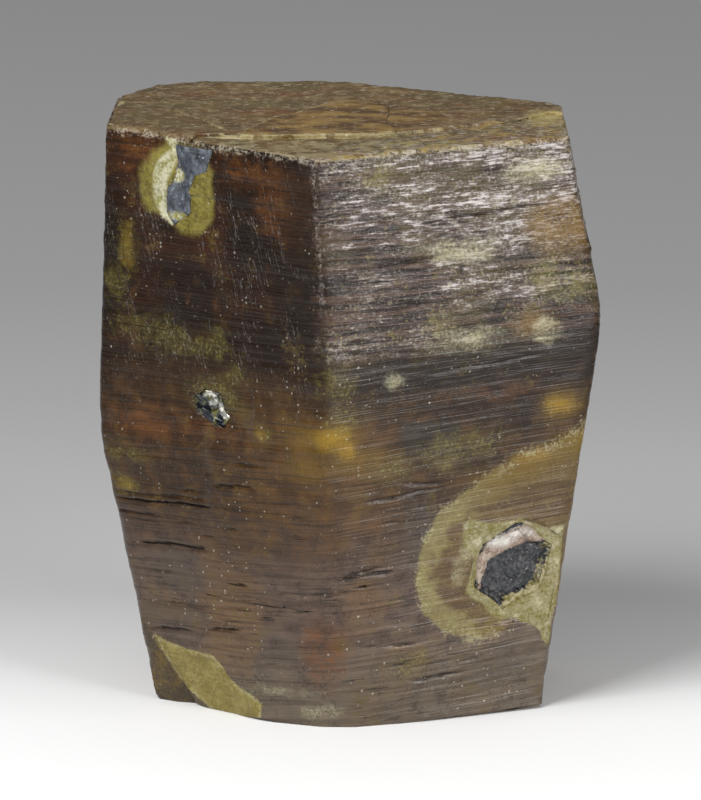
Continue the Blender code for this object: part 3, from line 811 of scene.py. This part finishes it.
# %% Group: scratches
scratch_group, taken, given = new_group(
    "Scratches",
    [("Position", "Vector", None), ("Turn", "Vector", (0, 0, 0)), ("Fineness", "Float", 9.0), ("Share", "Float", 0.3)],
    [("Mask", "Float")],
)
tree = scratch_group
turned = placed(taken["Position"], turn=taken["Turn"])
hairs = grain_noise(placed(turned, scale=(1.0, 1.0, 0.045)), taken["Fineness"], 2.0, 0.5)
hair = between(maths("ABSOLUTE", maths("SUBTRACT", hairs, 0.5)), 0.0, 0.012, 1.0, 0.0)
patches = grain_noise(placed(turned, location=(5.0, 2.0, 8.0), scale=(1.0, 1.0, 0.4)), 1.1, 3.0, 0.6)
limit = maths("SUBTRACT", 0.78, times(taken["Share"], 0.4))
feed(given["Mask"], times(hair, between(patches, limit, plus(limit, 0.06))))
print("groups:", [group.name for group in bpy.data.node_groups])

# %% [markdown]
# The crystal's material
#
# Parisite is a resinous brown carbonate. This one runs from nearly black red-brown at its upper left to
# a greyer brown below its waist, the grey partly painted reflection of the white paper, with orange and
# olive zones, yellow halos and a silvery broken sheen that is partly a painted highlight.
# The colours are laid one over another in the order in which they cover each other.


# %% Start a material with a Principled shader
def start_material(name):
    material = bpy.data.materials.new(name)
    material.use_nodes = True
    return material, material.node_tree, material.node_tree.nodes["Principled BSDF"]


def lay(share, shade):
    """Lays one more colour over the body colours so far."""
    global body
    body = blend(share, body, shade)


def finish_surface(tint, roughness, relief, depth):
    """Feeds the shader its colour, its roughness and a relief that is some millimetres deep."""
    feed(shader.inputs["Base Color"], tint)
    feed(shader.inputs["Roughness"], roughness)
    bump = tree.nodes.new("ShaderNodeBump")
    bump.inputs["Distance"].default_value = depth * MM
    feed(bump.inputs["Height"], relief)
    feed(shader.inputs["Normal"], bump.outputs["Normal"])


parisite, tree, shader = start_material("parisite")
position = position_mm()
growth = use(lines_group, Position=position)
lines, layers = growth["Lines"], growth["Layers"]
close = use(lines_group, Position=position, Fineness=12.0, Reach=0.3)
clouds = grain_noise(position, 0.35, 3.0, 0.55)
curds = grain_noise(position, 1.6, 4.0, 0.62)
flour = grain_noise(position, 10.0, 2.0, 0.65)
fray = grain_noise(layers, 3.5, 3.0, 0.65)


def mask(name, softness=0.05, tearing=0.15, shake=None):
    return torn(name, softness, tearing, shake or fray)


# %% [markdown]
# Brown from top to bottom
#
# Three browns follow each other down the crystal, and noise shakes the height at which they change, so
# no line shows. Drawn blotches then add the rust, grey and dark zones, the dark ones partly painted
# shade along the left edge, and thin dark lines mark layers.

# %% Body colours of the crystal
split = tree.nodes.new("ShaderNodeSeparateXYZ")
feed(split.inputs[0], layers)
height = split.outputs["Z"]
grit = plus(times(curds, 0.55), times(flour, 0.45))
loose_height = plus(height, times(curds, 2.4), times(clouds, 1.6), -2.0)
upper = blend(between(clouds, 0.40, 0.62), "1c0f05", "381c0a")
upper = blend(between(curds, 0.54, 0.72, 0.0, 0.6), upper, "4d2f10")
waist = blend(between(curds, 0.44, 0.66), "35220f", "4c3318")
# The lower browns are greyer: partly the crystal's colour, partly painted reflection of the white paper
lower = blend(between(curds, 0.34, 0.72), "504139", "675547")
lower = blend(between(clouds, 0.50, 0.64, 0.0, 0.6), lower, "725638")
body = blend(between(loose_height, 8.6, 4.6), waist, lower)
lay(between(loose_height, 11.6, 13.0), upper)
# Greyer near the base: partly painted reflection of the white paper
lay(between(loose_height, 4.0, 1.0, 0.0, 0.6), "655c4e")
lay(between(grit, 0.47, 0.38, 0.0, 0.4), "2a1d12")
# The zone that carries the painted sheen highlight, with a torn border
painted_sheen_zone = mask("sheen", 0.6, 0.9, plus(times(curds, 0.6), times(fray, 0.4)))
lay(times(mask("warm", 0.9, 0.7), between(curds, 0.32, 0.70, 0.25, 0.75)), "5e421f")
lay(times(mask("rust", 0.45, 0.5), between(grit, 0.36, 0.64, 0.2, 1.0), 0.85), "6a3f1a")
# Dark zones: darker skin, and painted shade along the left edge
lay(times(mask("dark", 0.6, 0.5, curds), 0.75), "1a0f08")
lay(times(mask("grey", 0.35, 0.4), between(grit, 0.38, 0.56), 0.6), "4a463f")
lay(times(mask("slate", 0.10, 0.2), between(grit, 0.38, 0.5), 0.75), "33302b")
lay(times(between(field("sheen"), 2.8, 0.4), between(height, 9.5, 11.0), 0.8), "1f150d")
body = blend(between(lines, 0.25, 0.8, 0.0, 0.35), body, blend(1.0, body, "a58f7c", "MULTIPLY"))
fade_low = between(height, 3.0, 11.0, 0.35, 1.0)
lay(times(between(close["Lines"], 0.30, 0.0, 0.0, 0.55), fade_low), "1a1009")
dash_rows = use(lines_group, Position=position, Fineness=9.0, Reach=0.30)["Dashes"]
in_patches = between(grain_noise(placed(layers, scale=(0.5, 0.5, 1.0)), 0.9, 2.0), 0.50, 0.62)
thin_cracks = times(between(dash_rows, 0.5, 0.95), between(height, 12.5, 9.0), in_patches)
lay(times(thin_cracks, 0.8), "190e07")

# %% [markdown]
# Altered crystal
#
# Near the grains and in scattered flecks the crystal has altered to yellow and olive. A halo is a pale
# band along its outline that fades inwards to brown. Its width comes from the stored distance.

# %% Olive and yellow zones
olive_share = times(between(grit, 0.53, 0.62), between(clouds, 0.42, 0.60, 0.05, 0.6))
lay(olive_share, "56491f")
granular = between(grit, 0.42, 0.56)
glow_out = plus(field("glow"), times(curds, 0.9), -0.45)
lay(times(between(glow_out, 0.5, -0.3), between(grit, 0.30, 0.60, 0.4, 1.0), 0.8), "6d5419")
core_out = plus(field("core"), times(curds, 0.8), -0.4)
core = times(between(core_out, 0.25, -0.2), between(grit, 0.30, 0.60, 0.5, 1.0))
lay(times(core, 0.9), "8f7016")
fleck_out = plus(field("fleck"), times(grain_noise(position, 3.2, 3.0, 0.7), 1.9), -0.95)
fleck_soft = times(between(fleck_out, 0.35, -0.20), between(grit, 0.34, 0.62, 0.15, 0.65))
lay(fleck_soft, "5f5526")
seeds = use(specks_group, Position=position, Cells_per_mm=9.0, Share=0.5, Size=0.6)["Mask"]
lay(times(between(fleck_out, 0.06, -0.12), maths("MAXIMUM", seeds, between(flour, 0.54, 0.70)), 0.28), "8f8852")
bands = use(lines_group, Position=position, Fineness=6.0, Reach=0.35)["Lines"]
halo_out = field("halo")
halo_shake = plus(times(fray, 0.15), times(curds, 0.85))
halo_inside = blend(between(bands, 0.15, 0.85), "4d3a26", "5f4a2d")
halo_inside = blend(times(between(grit, 0.48, 0.62), 0.5), halo_inside, "74683c")
halo_band = between(plus(halo_out, times(curds, 1.5)), -0.35, 0.35)
halo_pale = blend(between(split.outputs["X"], 3.2, 5.6), "7f754a", "654f20")
halo_tint = blend(times(halo_band, between(grit, 0.30, 0.62, 0.45, 1.0)), halo_inside, halo_pale)
yellow_end = torn("glow", 0.5, 0.4, curds)
halo_tint = blend(times(yellow_end, 0.7), halo_tint, "6f5a1c")
halo = mask("halo", 0.08, 0.26, halo_shake)
lay(halo, halo_tint)
lay(times(halo, core, 0.65), "8a6a18")
halo_edge = times(between(halo_out, -0.5, -0.05), between(halo_out, 0.05, 0.30, 1.0, 0.0), between(grit, 0.50, 0.60))
lay(times(halo_edge, 0.55), "a39c74")
lay(times(between(close["Lines"], 0.24, 0.0, 0.0, 0.3), maths("SUBTRACT", 1.0, times(halo, 0.7))), "241a0e")
top_halo = blend(between(grit, 0.36, 0.64), "675c24", "918744")
lay(times(mask("top_halo", 0.16, 0.22, curds), between(grit, 0.34, 0.46, 0.7, 0.95)), top_halo)
rim_tint = blend(between(grit, 0.40, 0.58), "878246", "c6c3a6")
lay(mask("cream_rim", 0.06, 0.20, grit), rim_tint)
print("body colours laid")

# %% [markdown]
# The silver sheen, painted as a highlight
#
# On the upper right face the layers' broken ends catch the light. In the real crystal each is a tiny
# facet. Here fine ridges in the mesh do part of it, and the rest is a painted highlight: pale streaks
# painted on dark gaps, painted brighter in some zones and painted in shade in others.

# %% Painted sheen: highlight streaks painted from dark gaps to silver ridges
streaks = use(lines_group, Position=position, Fineness=14.0, Reach=2.4)["Lines"]
patches = grain_noise(placed(layers, location=(3.0, 9.0, 1.0), scale=(0.7, 0.7, 1.9)), 1.0, 4.0, 0.68)
painted_sheen_tint = blend(between(bands, 0.25, 0.75), "1e120c", "4a362b")
painted_sheen_tint = blend(between(clouds, 0.46, 0.60, 0.0, 0.55), painted_sheen_tint, "54471f")
painted_highlight_zone = between(plus(field("bright"), times(patches, 2.4)), 0.4, 2.6, 1.0, 0.0)
painted_shade_zone = between(plus(field("shaded"), times(patches, 1.2)), 0.5, 1.0, 1.0, 0.0)
# How strongly the painted highlight shows: more in the bright zones, less in the painted shade zones
painted_glint = plus(
    times(streaks, 0.36), times(bands, 0.22), times(patches, 0.9), times(flour, 0.35),
    times(painted_highlight_zone, 0.20), times(painted_shade_zone, -0.16), between(field("sheen"), -1.3, 0.2, 0.0, -0.14),
    between(height, 15.8, 13.8, 0.0, -0.07),
)
# Painted highlight: mid and silver streaks where the glint value is high
painted_sheen_tint = blend(between(painted_glint, 0.84, 1.16, 0.0, 0.8), painted_sheen_tint, "6b5f59")
painted_sheen_tint = blend(between(painted_glint, 1.06, 1.34), painted_sheen_tint, "c9c2c0")
# Painted frosty highlight: pale granular patches in the sheen
painted_frosty_highlight = times(between(plus(flour, times(patches, 0.7), times(painted_highlight_zone, 0.14)), 0.96, 1.24), 0.7)
painted_sheen_tint = blend(painted_frosty_highlight, painted_sheen_tint, "a39c84")
lay(times(painted_sheen_zone, 0.95), painted_sheen_tint)
glow_here = times(painted_sheen_zone, between(glow_out, 0.5, -0.4), between(grit, 0.36, 0.54, 0.3, 0.85))
lay(times(glow_here, 0.75), "80622a")
fleck_here = times(painted_sheen_zone, between(fleck_out, 0.4, -0.2), between(grit, 0.34, 0.64, 0.1, 0.6))
lay(fleck_here, "8a8146")
mottle = times(painted_sheen_zone, between(grit, 0.54, 0.62), between(fray, 0.45, 0.6), between(height, 17.5, 14.0, 0.3, 0.65))
lay(mottle, "786c2f")
pale_out = plus(field("pale"), times(curds, 0.7), -0.35)
powder = between(plus(times(flour, 0.4), times(patches, 0.6)), 0.38, 0.62, 0.1, 0.65)
lay(times(between(pale_out, 0.22, -0.15), powder), "aea886")

# %% [markdown]
# Broken faces
#
# Where the skin has flaked off, the inside is a granular yellowish cream. These places are steps in the
# mesh, so their masks follow the outlines closely. The recess beside the chip is a darker brown, partly
# painted shade.

# %% The broken faces
platform = mask("platform", 0.05, 0.22, plus(times(flour, 0.5), times(curds, 0.5)))
platform_tint = blend(between(grit, 0.40, 0.58), "6f662f", "918a68")
platform_tint = blend(between(curds, 0.54, 0.66, 0.0, 0.75), platform_tint, "b5ae90")
lay(platform, platform_tint)
chip_tint = blend(between(grit, 0.40, 0.62), "786a30", "938650")
chip_tint = blend(between(clouds, 0.52, 0.62, 0.0, 0.45), chip_tint, "655326")
chip_out = field("chip")
chip_tint = blend(times(between(chip_out, -0.20, -0.03), granular, 0.6), chip_tint, "aaa27a")
chip = mask("chip", 0.03, 0.10, flour)
lay(chip, chip_tint)
# The recess: its own brown, darkened by painted shade
recess_shaded_tint = blend(between(grit, 0.42, 0.60), "41372a", "62502a")
lay(mask("recess", 0.05, 0.06), recess_shaded_tint)

# %% [markdown]
# The top
#
# The top is one growth layer on another, worn smooth, in amber, olive and rust. The step lines are
# painted highlights on the lit edges of layers, and the rim is rubbed pale, with a painted highlight
# that grows along its right part.

# %% The top
top = field("top")
sweep = grain_noise(placed(position, turn=(0, 0, 0.15), scale=(0.7, 1.2, 1.0)), 0.9, 4.0, 0.62)
top_grain = grain_noise(position, 2.2, 4.0, 0.62)
top_tint = blend(between(sweep, 0.34, 0.68), "4b371a", "6d5531")
rust_top = grain_noise(placed(position, location=(7.0, 2.0, 1.0), scale=(0.5, 1.0, 1.0)), 0.8, 3.0, 0.55)
top_tint = blend(between(rust_top, 0.50, 0.66, 0.0, 0.8), top_tint, "5e3a18")
top_tint = blend(between(clouds, 0.45, 0.60, 0.0, 0.65), top_tint, "514726")
top_tint = blend(between(top_grain, 0.48, 0.66, 0.0, 0.5), top_tint, "8d7b5c")
mound = mask("mound", 0.25, 0.25)
top_tint = blend(times(mound, 0.85), top_tint, blend(between(sweep, 0.40, 0.62), "4a3012", "866a36"))
terrace = between(split.outputs["Y"], -3.6, -4.4)
top_tint = blend(times(terrace, between(top_grain, 0.40, 0.60), 0.7), top_tint, "857a58")
margin = mask("margin", 0.45, 0.7, top_grain)
# Painted sheen on the top's margin: pale highlight dashes
painted_margin_sheen = grain_noise(placed(position, turn=(0, 0, 0.55), scale=(1.6, 5.0, 1.0)), 1.8, 3.0, 0.75)
top_tint = blend(times(margin, between(painted_margin_sheen, 0.50, 0.64), 0.8), top_tint, "a99f92")
top_tint = blend(times(margin, between(top_grain, 0.50, 0.62), 0.6), top_tint, "8f7426")
# Painted highlight along the lit edges of the steps
painted_step_highlight = times(between(plus(field("step"), times(fray, 0.5)), 0.28, 0.42, 1.0, 0.0), between(top_grain, 0.38, 0.54))
top_tint = blend(times(painted_step_highlight, 0.75), top_tint, "a3976c")
top_flecks = between(grain_noise(placed(position, scale=(3.0, 9.0, 1.0)), 1.0, 2.0, 0.7), 0.60, 0.67)
top_tint = blend(times(top_flecks, 0.45), top_tint, "cfc8b0")
lay(top, top_tint)
# The rim: pale chips of wear, with a painted highlight that grows in the bright zones of the sheen
rim_band = between(plus(field("rim"), times(fray, 0.5), times(painted_highlight_zone, -0.16)), 0.18, 0.40, 1.0, 0.0)
rim_wear_and_highlight = times(rim_band, between(plus(times(curds, 0.5), times(flour, 0.5), times(painted_highlight_zone, 0.12)), 0.53, 0.66))
lay(times(rim_wear_and_highlight, 0.7), "b5ac98")
corner_out = plus(field("corner"), times(curds, 1.2), -0.6)
corner = times(between(corner_out, 0.4, -0.2), between(field("rim"), 1.6, 0.7), between(grit, 0.38, 0.60, 0.1, 0.8))
lay(corner, "aa9a60")
print("sheen, broken faces and top laid")

# %% [markdown]
# Wear and dust
#
# The last colours lie over all the others: rubbed edges, a pale front edge that is partly painted
# highlight, cracks darkened by painted shade, hair-thin scratches and dust. A little noise on the
# dust's position keeps its dots from being round.

# %% Wear, cracks, scratches and dust
worn = times(between(field("wear"), 0.09, 0.17), between(grit, 0.44, 0.60, 0.05, 0.7))
lay(worn, "9c8d72")
# Pale line along the front edge: partly wear, partly painted highlight
edge_near = between(plus(field("edge_line"), times(fray, 0.5)), 0.16, 0.42, 1.0, 0.0)
edge_wear_and_highlight = times(edge_near, between(flour, 0.42, 0.58))
lay(times(edge_wear_and_highlight, 0.6), "a49c94")
# Painted shade in the open cracks, darker where they are deeper
crack = between(field("crack"), 0.15, 0.6)
lay(times(crack, 0.8), "20130b")
up_scratch = use(scratch_group, Position=position, Turn=(0.12, 0.25, 0.0), Share=0.75)["Mask"]
side_scratch = use(scratch_group, Position=position, Turn=(0.0, 0.9, 0.4), Fineness=7.0, Share=0.4)["Mask"]
scratches = times(maths("MAXIMUM", up_scratch, side_scratch), between(height, 11.0, 13.0, 0.2, 1.0))
lay(times(scratches, between(flour, 0.35, 0.6, 0.15, 0.65)), "9b938b")
warp = tree.nodes.new("ShaderNodeVectorMath")
warp.operation = "ADD"
feed(warp.inputs[0], position)
feed(warp.inputs[1], times(flour, 0.12))
dust = use(specks_group, Position=warp.outputs[0], Cells_per_mm=4.0, Share=0.025, Size=0.18)
fine_dust = use(specks_group, Position=warp.outputs[0], Cells_per_mm=8.0, Share=0.14, Size=0.36)
lay(times(dust["Mask"], 0.55), "c0baa8")
lay(times(fine_dust["Mask"], between(clouds, 0.4, 0.6, 0.15, 0.65)), "a8a294")

# %% [markdown]
# Gloss and fine relief
#
# The skin is satin with duller broken places. Relief under a few hundredths of a millimetre is too fine
# for the mesh, so a Bump node makes it from the same noises as the colours.

# %% Relief too fine for the mesh, and how rough each zone is
dull = maths("MAXIMUM", maths("MAXIMUM", chip, platform), crack)
roughness = plus(between(curds, 0.3, 0.7, 0.26, 0.40), times(dull, 0.16), times(top, 0.08))
broken = between(field("sheen"), 0.6, -0.6)
relief = plus(
    times(close["Lines"], plus(0.5, times(top, -0.5))), times(flour, plus(0.25, times(broken, 0.6), times(top, 0.35))),
    times(bands, broken, 1.2), times(streaks, broken, 0.7), times(up_scratch, -0.5),
)
finish_surface(body, roughness, relief, 0.016)
shader.inputs["IOR"].default_value = 1.6
shader.inputs["Specular IOR Level"].default_value = 0.25
print("parisite material:", len(tree.nodes), "nodes")

# %% Dress the crystal
def dress(mesh, name, material, node):
    piece = bpy.data.objects.new(name, mesh)
    bpy.context.scene.collection.objects.link(piece)
    mesh.materials.clear()
    mesh.materials.append(material)
    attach(piece, "root")
    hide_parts(node)
    return piece


dress(mesh, "ridged_crystal", parisite, "parisite_crystal")
triangles = sum(len(face.vertices) - 2 for face in mesh.polygons)
print("crystal triangles:", triangles)

# %% [markdown]
# The dark grains
#
# Three grains of other minerals sit in the faces. Their solids have the right outline and depth but
# flat middles. Each copy is grown by the hair's breadth that separates it from its pocket, sliced
# into small cells, and roughened, and the material tells the dark floor from the pale lip.


# %% Roughen a grain
POCKET_GAP = 0.05
GRAIN_CELL = 0.075 * MM


def rough_grain(node, bumps, height, depth_of=None):
    bm = merged_copy(node)
    low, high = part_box(node)
    for axis, index in ((Vector((1, 0, 0)), 0), (Vector((0, 0, 1)), 2), (Vector((0, 1, 0)), 1)):
        slice_skin(bm, bm.faces[:], axis, evenly(low[index], high[index], GRAIN_CELL))
    bmesh.ops.recalc_face_normals(bm, faces=bm.faces[:])
    made = bpy.data.meshes.new(node + "_skin")
    bm.to_mesh(made)
    bm.free()
    made.shade_smooth()
    places = corners_of(made)
    normals = normals_of(made)
    middle = places.mean(axis=0)
    outward = normals[normals[:, 1] < -0.6].mean(axis=0)
    outward /= np.linalg.norm(outward)
    sideways = normals - (normals @ outward)[:, None] * outward
    reach = np.linalg.norm(sideways, axis=1)[:, None]
    places += sideways / np.maximum(reach, 0.3) * POCKET_GAP
    chance = np.array([
        noise.noise(Vector(place) * bumps) + 0.6 * noise.noise(Vector(place) * bumps * 2.3) for place in places
    ])
    facing = places[:, 1] < middle[1] + 0.2
    moved = np.where(facing, chance * height, 0.0)
    places += normals * moved[:, None]
    flat = unrolled(places)
    if depth_of is not None:
        places += normals * (depth_of(flat) * facing)[:, None]
    made.vertices.foreach_set("co", (places * MM).ravel())
    made.update()
    keep(made, "wear", wear_of(made, 1))
    print(node, "cells:", len(made.polygons))
    return made, flat


LIP = (
    (6.18, 4.45), (6.0, 5.55), (6.45, 6.08), (7.05, 6.42), (7.98, 6.66), (8.30, 6.38), (8.62, 6.0), (8.35, 5.96),
    (7.92, 5.87), (7.42, 5.71), (6.86, 5.45), (6.50, 5.08), (6.34, 4.5),
)


def lip_height(flat):
    return np.clip(0.05 - outside_by(flat, LIP), 0.0, 0.22) * 0.7


FLOOR = (
    (6.22, 4.47), (6.45, 5.01), (6.84, 5.39), (7.42, 5.67), (7.92, 5.82), (8.42, 5.91), (8.84, 5.71), (8.73, 5.13),
    (8.57, 4.54), (8.22, 4.24), (7.76, 4.15), (7.42, 3.94), (7.07, 3.70), (6.76, 3.99), (6.45, 4.23), (6.07, 4.21),
)
large_mesh, large_flat = rough_grain("large_dark_grain", 2.6, 0.05, lip_height)
keep(large_mesh, "lip", outside_by(large_flat, LIP))
keep(large_mesh, "floor", outside_by(large_flat, FLOOR))
# shine: where a painted highlight sits on the lip
keep(large_mesh, "shine", outside_ovals(large_flat, ((7.1, 6.15, 0.55, 0.18), (7.7, 6.35, 0.35, 0.14))))
top_mesh, top_flat = rough_grain("top_edge_grain", 3.4, 0.03)
VEINS = ((-8.0, 18.62, 0.30, 0.26), (-8.45, 19.6, 0.22, 0.5), (-7.9, 17.2, 0.5, 0.12))
keep(top_mesh, "vein", outside_ovals(top_flat, VEINS))
small_mesh, small_flat = rough_grain("small_bright_grain", 3.0, 0.05)
# Places where glints are painted on the small grain
GLINTS = ((-6.45, 11.32, 0.34, 0.16), (-5.6, 10.72, 0.26, 0.24), (-6.1, 11.0, 0.22, 0.08))
keep(small_mesh, "shine", outside_ovals(small_flat, GLINTS))

# %% [markdown]
# The grains' materials
#
# The large grain is a dull blue-black mineral with a cream and pink lip along its upper left; the lip's
# pale is partly painted light on the lit wall of the pit, with a painted highlight. The grain at the top
# edge is blue-grey and a little glossy, and the small one glitters like broken pyrite, with painted glints.

# %% Material: large dark grain
large_material, tree, shader = start_material("large_dark_grain")
position = position_mm()
curds = grain_noise(position, 2.4, 5.0, 0.68)
flour = grain_noise(position, 9.0, 4.0, 0.68)
grit = plus(times(curds, 0.5), times(flour, 0.5))
dark = blend(between(grit, 0.42, 0.60), "1d1f23", "4c4d50")
dark = blend(between(flour, 0.56, 0.68, 0.0, 0.5), dark, "84786e")
shader.inputs["Specular IOR Level"].default_value = 0.3
crust = blend(between(grit, 0.42, 0.58), "6f652f", "a69d7a")
lip_out = field("lip")
tint = blend(between(plus(lip_out, times(flour, 0.2)), 0.20, 0.30, 1.0, 0.0), crust, "2a2e38")
tint = blend(torn("floor", 0.04, 0.10, flour), tint, dark)
# The lip: cream and pink, partly painted light on the lit wall of the pit
lip_tint = blend(between(grit, 0.42, 0.58), "7d6757", "b3a597")
# Painted highlight on the lip
lip_tint = blend(torn("shine", 0.15, 0.20, flour), lip_tint, "dcd9d2")
tint = blend(torn("lip", 0.05, 0.12, flour), tint, lip_tint)
specks = use(specks_group, Position=position, Cells_per_mm=6.0, Share=0.25, Size=0.25)
tint = blend(times(specks["Mask"], 0.7), tint, "b9aca0")
finish_surface(tint, between(curds, 0.3, 0.7, 0.40, 0.6), plus(flour, curds), 0.04)
dress(large_mesh, "large_grain", large_material, "large_dark_grain")

# %% Material: grain at the top edge
top_material, tree, shader = start_material("top_edge_grain")
position = position_mm()
curds = grain_noise(position, 3.0, 4.0, 0.65)
flour = grain_noise(placed(position, scale=(1.0, 1.0, 0.5)), 9.0, 4.0, 0.7)
tint = blend(between(curds, 0.35, 0.68), "32363e", "676c74")
tint = blend(between(flour, 0.55, 0.70, 0.0, 0.7), tint, "949aa2")
specks = use(specks_group, Position=position, Cells_per_mm=7.0, Share=0.35, Size=0.25)
tint = blend(times(specks["Mask"], 0.8), tint, "c6cad0")
vein = torn("vein", 0.08, 0.2, flour)
tint = blend(vein, tint, blend(between(flour, 0.42, 0.58), "8f8a4a", "d4d2bc"))
finish_surface(tint, between(flour, 0.3, 0.7, 0.3, 0.5), plus(flour, curds), 0.02)
dress(top_mesh, "edge_grain", top_material, "top_edge_grain")

# %% Material: small bright grain
small_material, tree, shader = start_material("small_bright_grain")
position = position_mm()
curds = grain_noise(position, 3.5, 3.0, 0.6)
tiles = use(specks_group, Position=position, Cells_per_mm=4.5, Share=0.6, Size=0.9)
tint = blend(between(curds, 0.46, 0.64), "2a2e34", "67653a")
tint = blend(times(tiles["Mask"], between(tiles["Chance"], 0.62, 0.8)), tint, "a9aaa2")
# Painted glints: near-white spots at the drawn places
painted_glitter = torn("shine", 0.10, 0.2, curds)
tint = blend(times(painted_glitter, between(tiles["Chance"], 0.15, 0.45, 0.35, 1.0)), tint, "eceade")
feed(shader.inputs["Metallic"], between(tiles["Chance"], 0.4, 0.8))
finish_surface(tint, between(curds, 0.3, 0.7, 0.18, 0.4), plus(tiles["Chance"], curds), 0.05)
dress(small_mesh, "bright_grain", small_material, "small_bright_grain")

# %% [markdown]
# Table and light
#
# The crystal stands on white paper. Its colour has the fall of light painted on it: it greys away from
# the crystal to the back and to both sides, as painted falloff. The dark sides keep the upper faces
# deep, while the white near the base lifts the lower ones. A soft window stands high at the left, and a
# tall panel low at the right throws the sheen.

# %% The paper
floor_bm = bmesh.new()
bmesh.ops.create_circle(floor_bm, cap_ends=True, cap_tris=False, segments=96, radius=1.5)
floor_mesh = bpy.data.meshes.new("paper")
floor_bm.to_mesh(floor_mesh)
floor_bm.free()
floor = bpy.data.objects.new("paper", floor_mesh)
bpy.context.scene.collection.objects.link(floor)
paper, tree, shader = start_material("paper")
position = position_mm()
spread = tree.nodes.new("ShaderNodeSeparateXYZ")
feed(spread.inputs[0], position)
# Painted falloff of light on the paper: brightest near the crystal, greyer to the back
painted_falloff_ramp = tree.nodes.new("ShaderNodeValToRGB")
feed(painted_falloff_ramp.inputs[0], between(spread.outputs["Y"], -30.0, 170.0))
painted_falloff_ramp.inputs[0].links[0].from_node.interpolation_type = "LINEAR"
PAINTED_FALLOFF_STOPS = (
    (0.0, 0.92), (0.125, 0.84), (0.17, 0.66), (0.21, 0.50), (0.28, 0.41), (0.36, 0.355), (0.46, 0.31), (0.80, 0.30),
)
while len(painted_falloff_ramp.color_ramp.elements) < len(PAINTED_FALLOFF_STOPS):
    painted_falloff_ramp.color_ramp.elements.new(0.5)
for element, (stop, value) in zip(painted_falloff_ramp.color_ramp.elements, PAINTED_FALLOFF_STOPS):
    element.position = stop
    element.color = (value, value, value, 1.0)
sideways = maths("ABSOLUTE", spread.outputs["X"])
# Painted falloff to both sides: the paper greys away sideways
feed(shader.inputs["Base Color"], blend(between(sideways, 18.0, 60.0, 0.0, 0.8), painted_falloff_ramp.outputs["Color"], "5a5a5a"))
shader.inputs["Roughness"].default_value = 0.8
shader.inputs["Specular IOR Level"].default_value = 0.1
floor_mesh.materials.append(paper)

# %% The lights
def panel(name, place, aim, width, height, power):
    """A soft rectangular light. Places are in millimetres."""
    light = bpy.data.lights.new(name, "AREA")
    light.shape = "RECTANGLE"
    light.size = width * MM
    light.size_y = height * MM
    light.energy = power
    made = bpy.data.objects.new(name, light)
    made.location = Vector(place) * MM
    made.rotation_euler = (Vector(aim) - Vector(place)).to_track_quat("-Z", "Y").to_euler()
    bpy.context.scene.collection.objects.link(made)


panel("window", (-150, -150, 260), (0, 0, 8), 160, 160, 0.95)
panel("sheen_panel", (210, -190, 75), (0, 0, 12), 90, 160, 0.55)
world = bpy.data.worlds.new("room")
world.use_nodes = True
tree = world.node_tree
toward = tree.nodes.new("ShaderNodeTexCoord")
upward = tree.nodes.new("ShaderNodeSeparateXYZ")
feed(upward.inputs[0], toward.outputs["Generated"])
room = blend(between(upward.outputs["Z"], 0.0, 0.9), "3c3c3c", "f2f2f2")
feed(tree.nodes["Background"].inputs["Color"], room)
tree.nodes["Background"].inputs["Strength"].default_value = 0.6
bpy.context.scene.world = world
bpy.context.scene.view_settings.view_transform = "Standard"

# %% [markdown]
# Finish
#

# %% Finish
print("scene built")
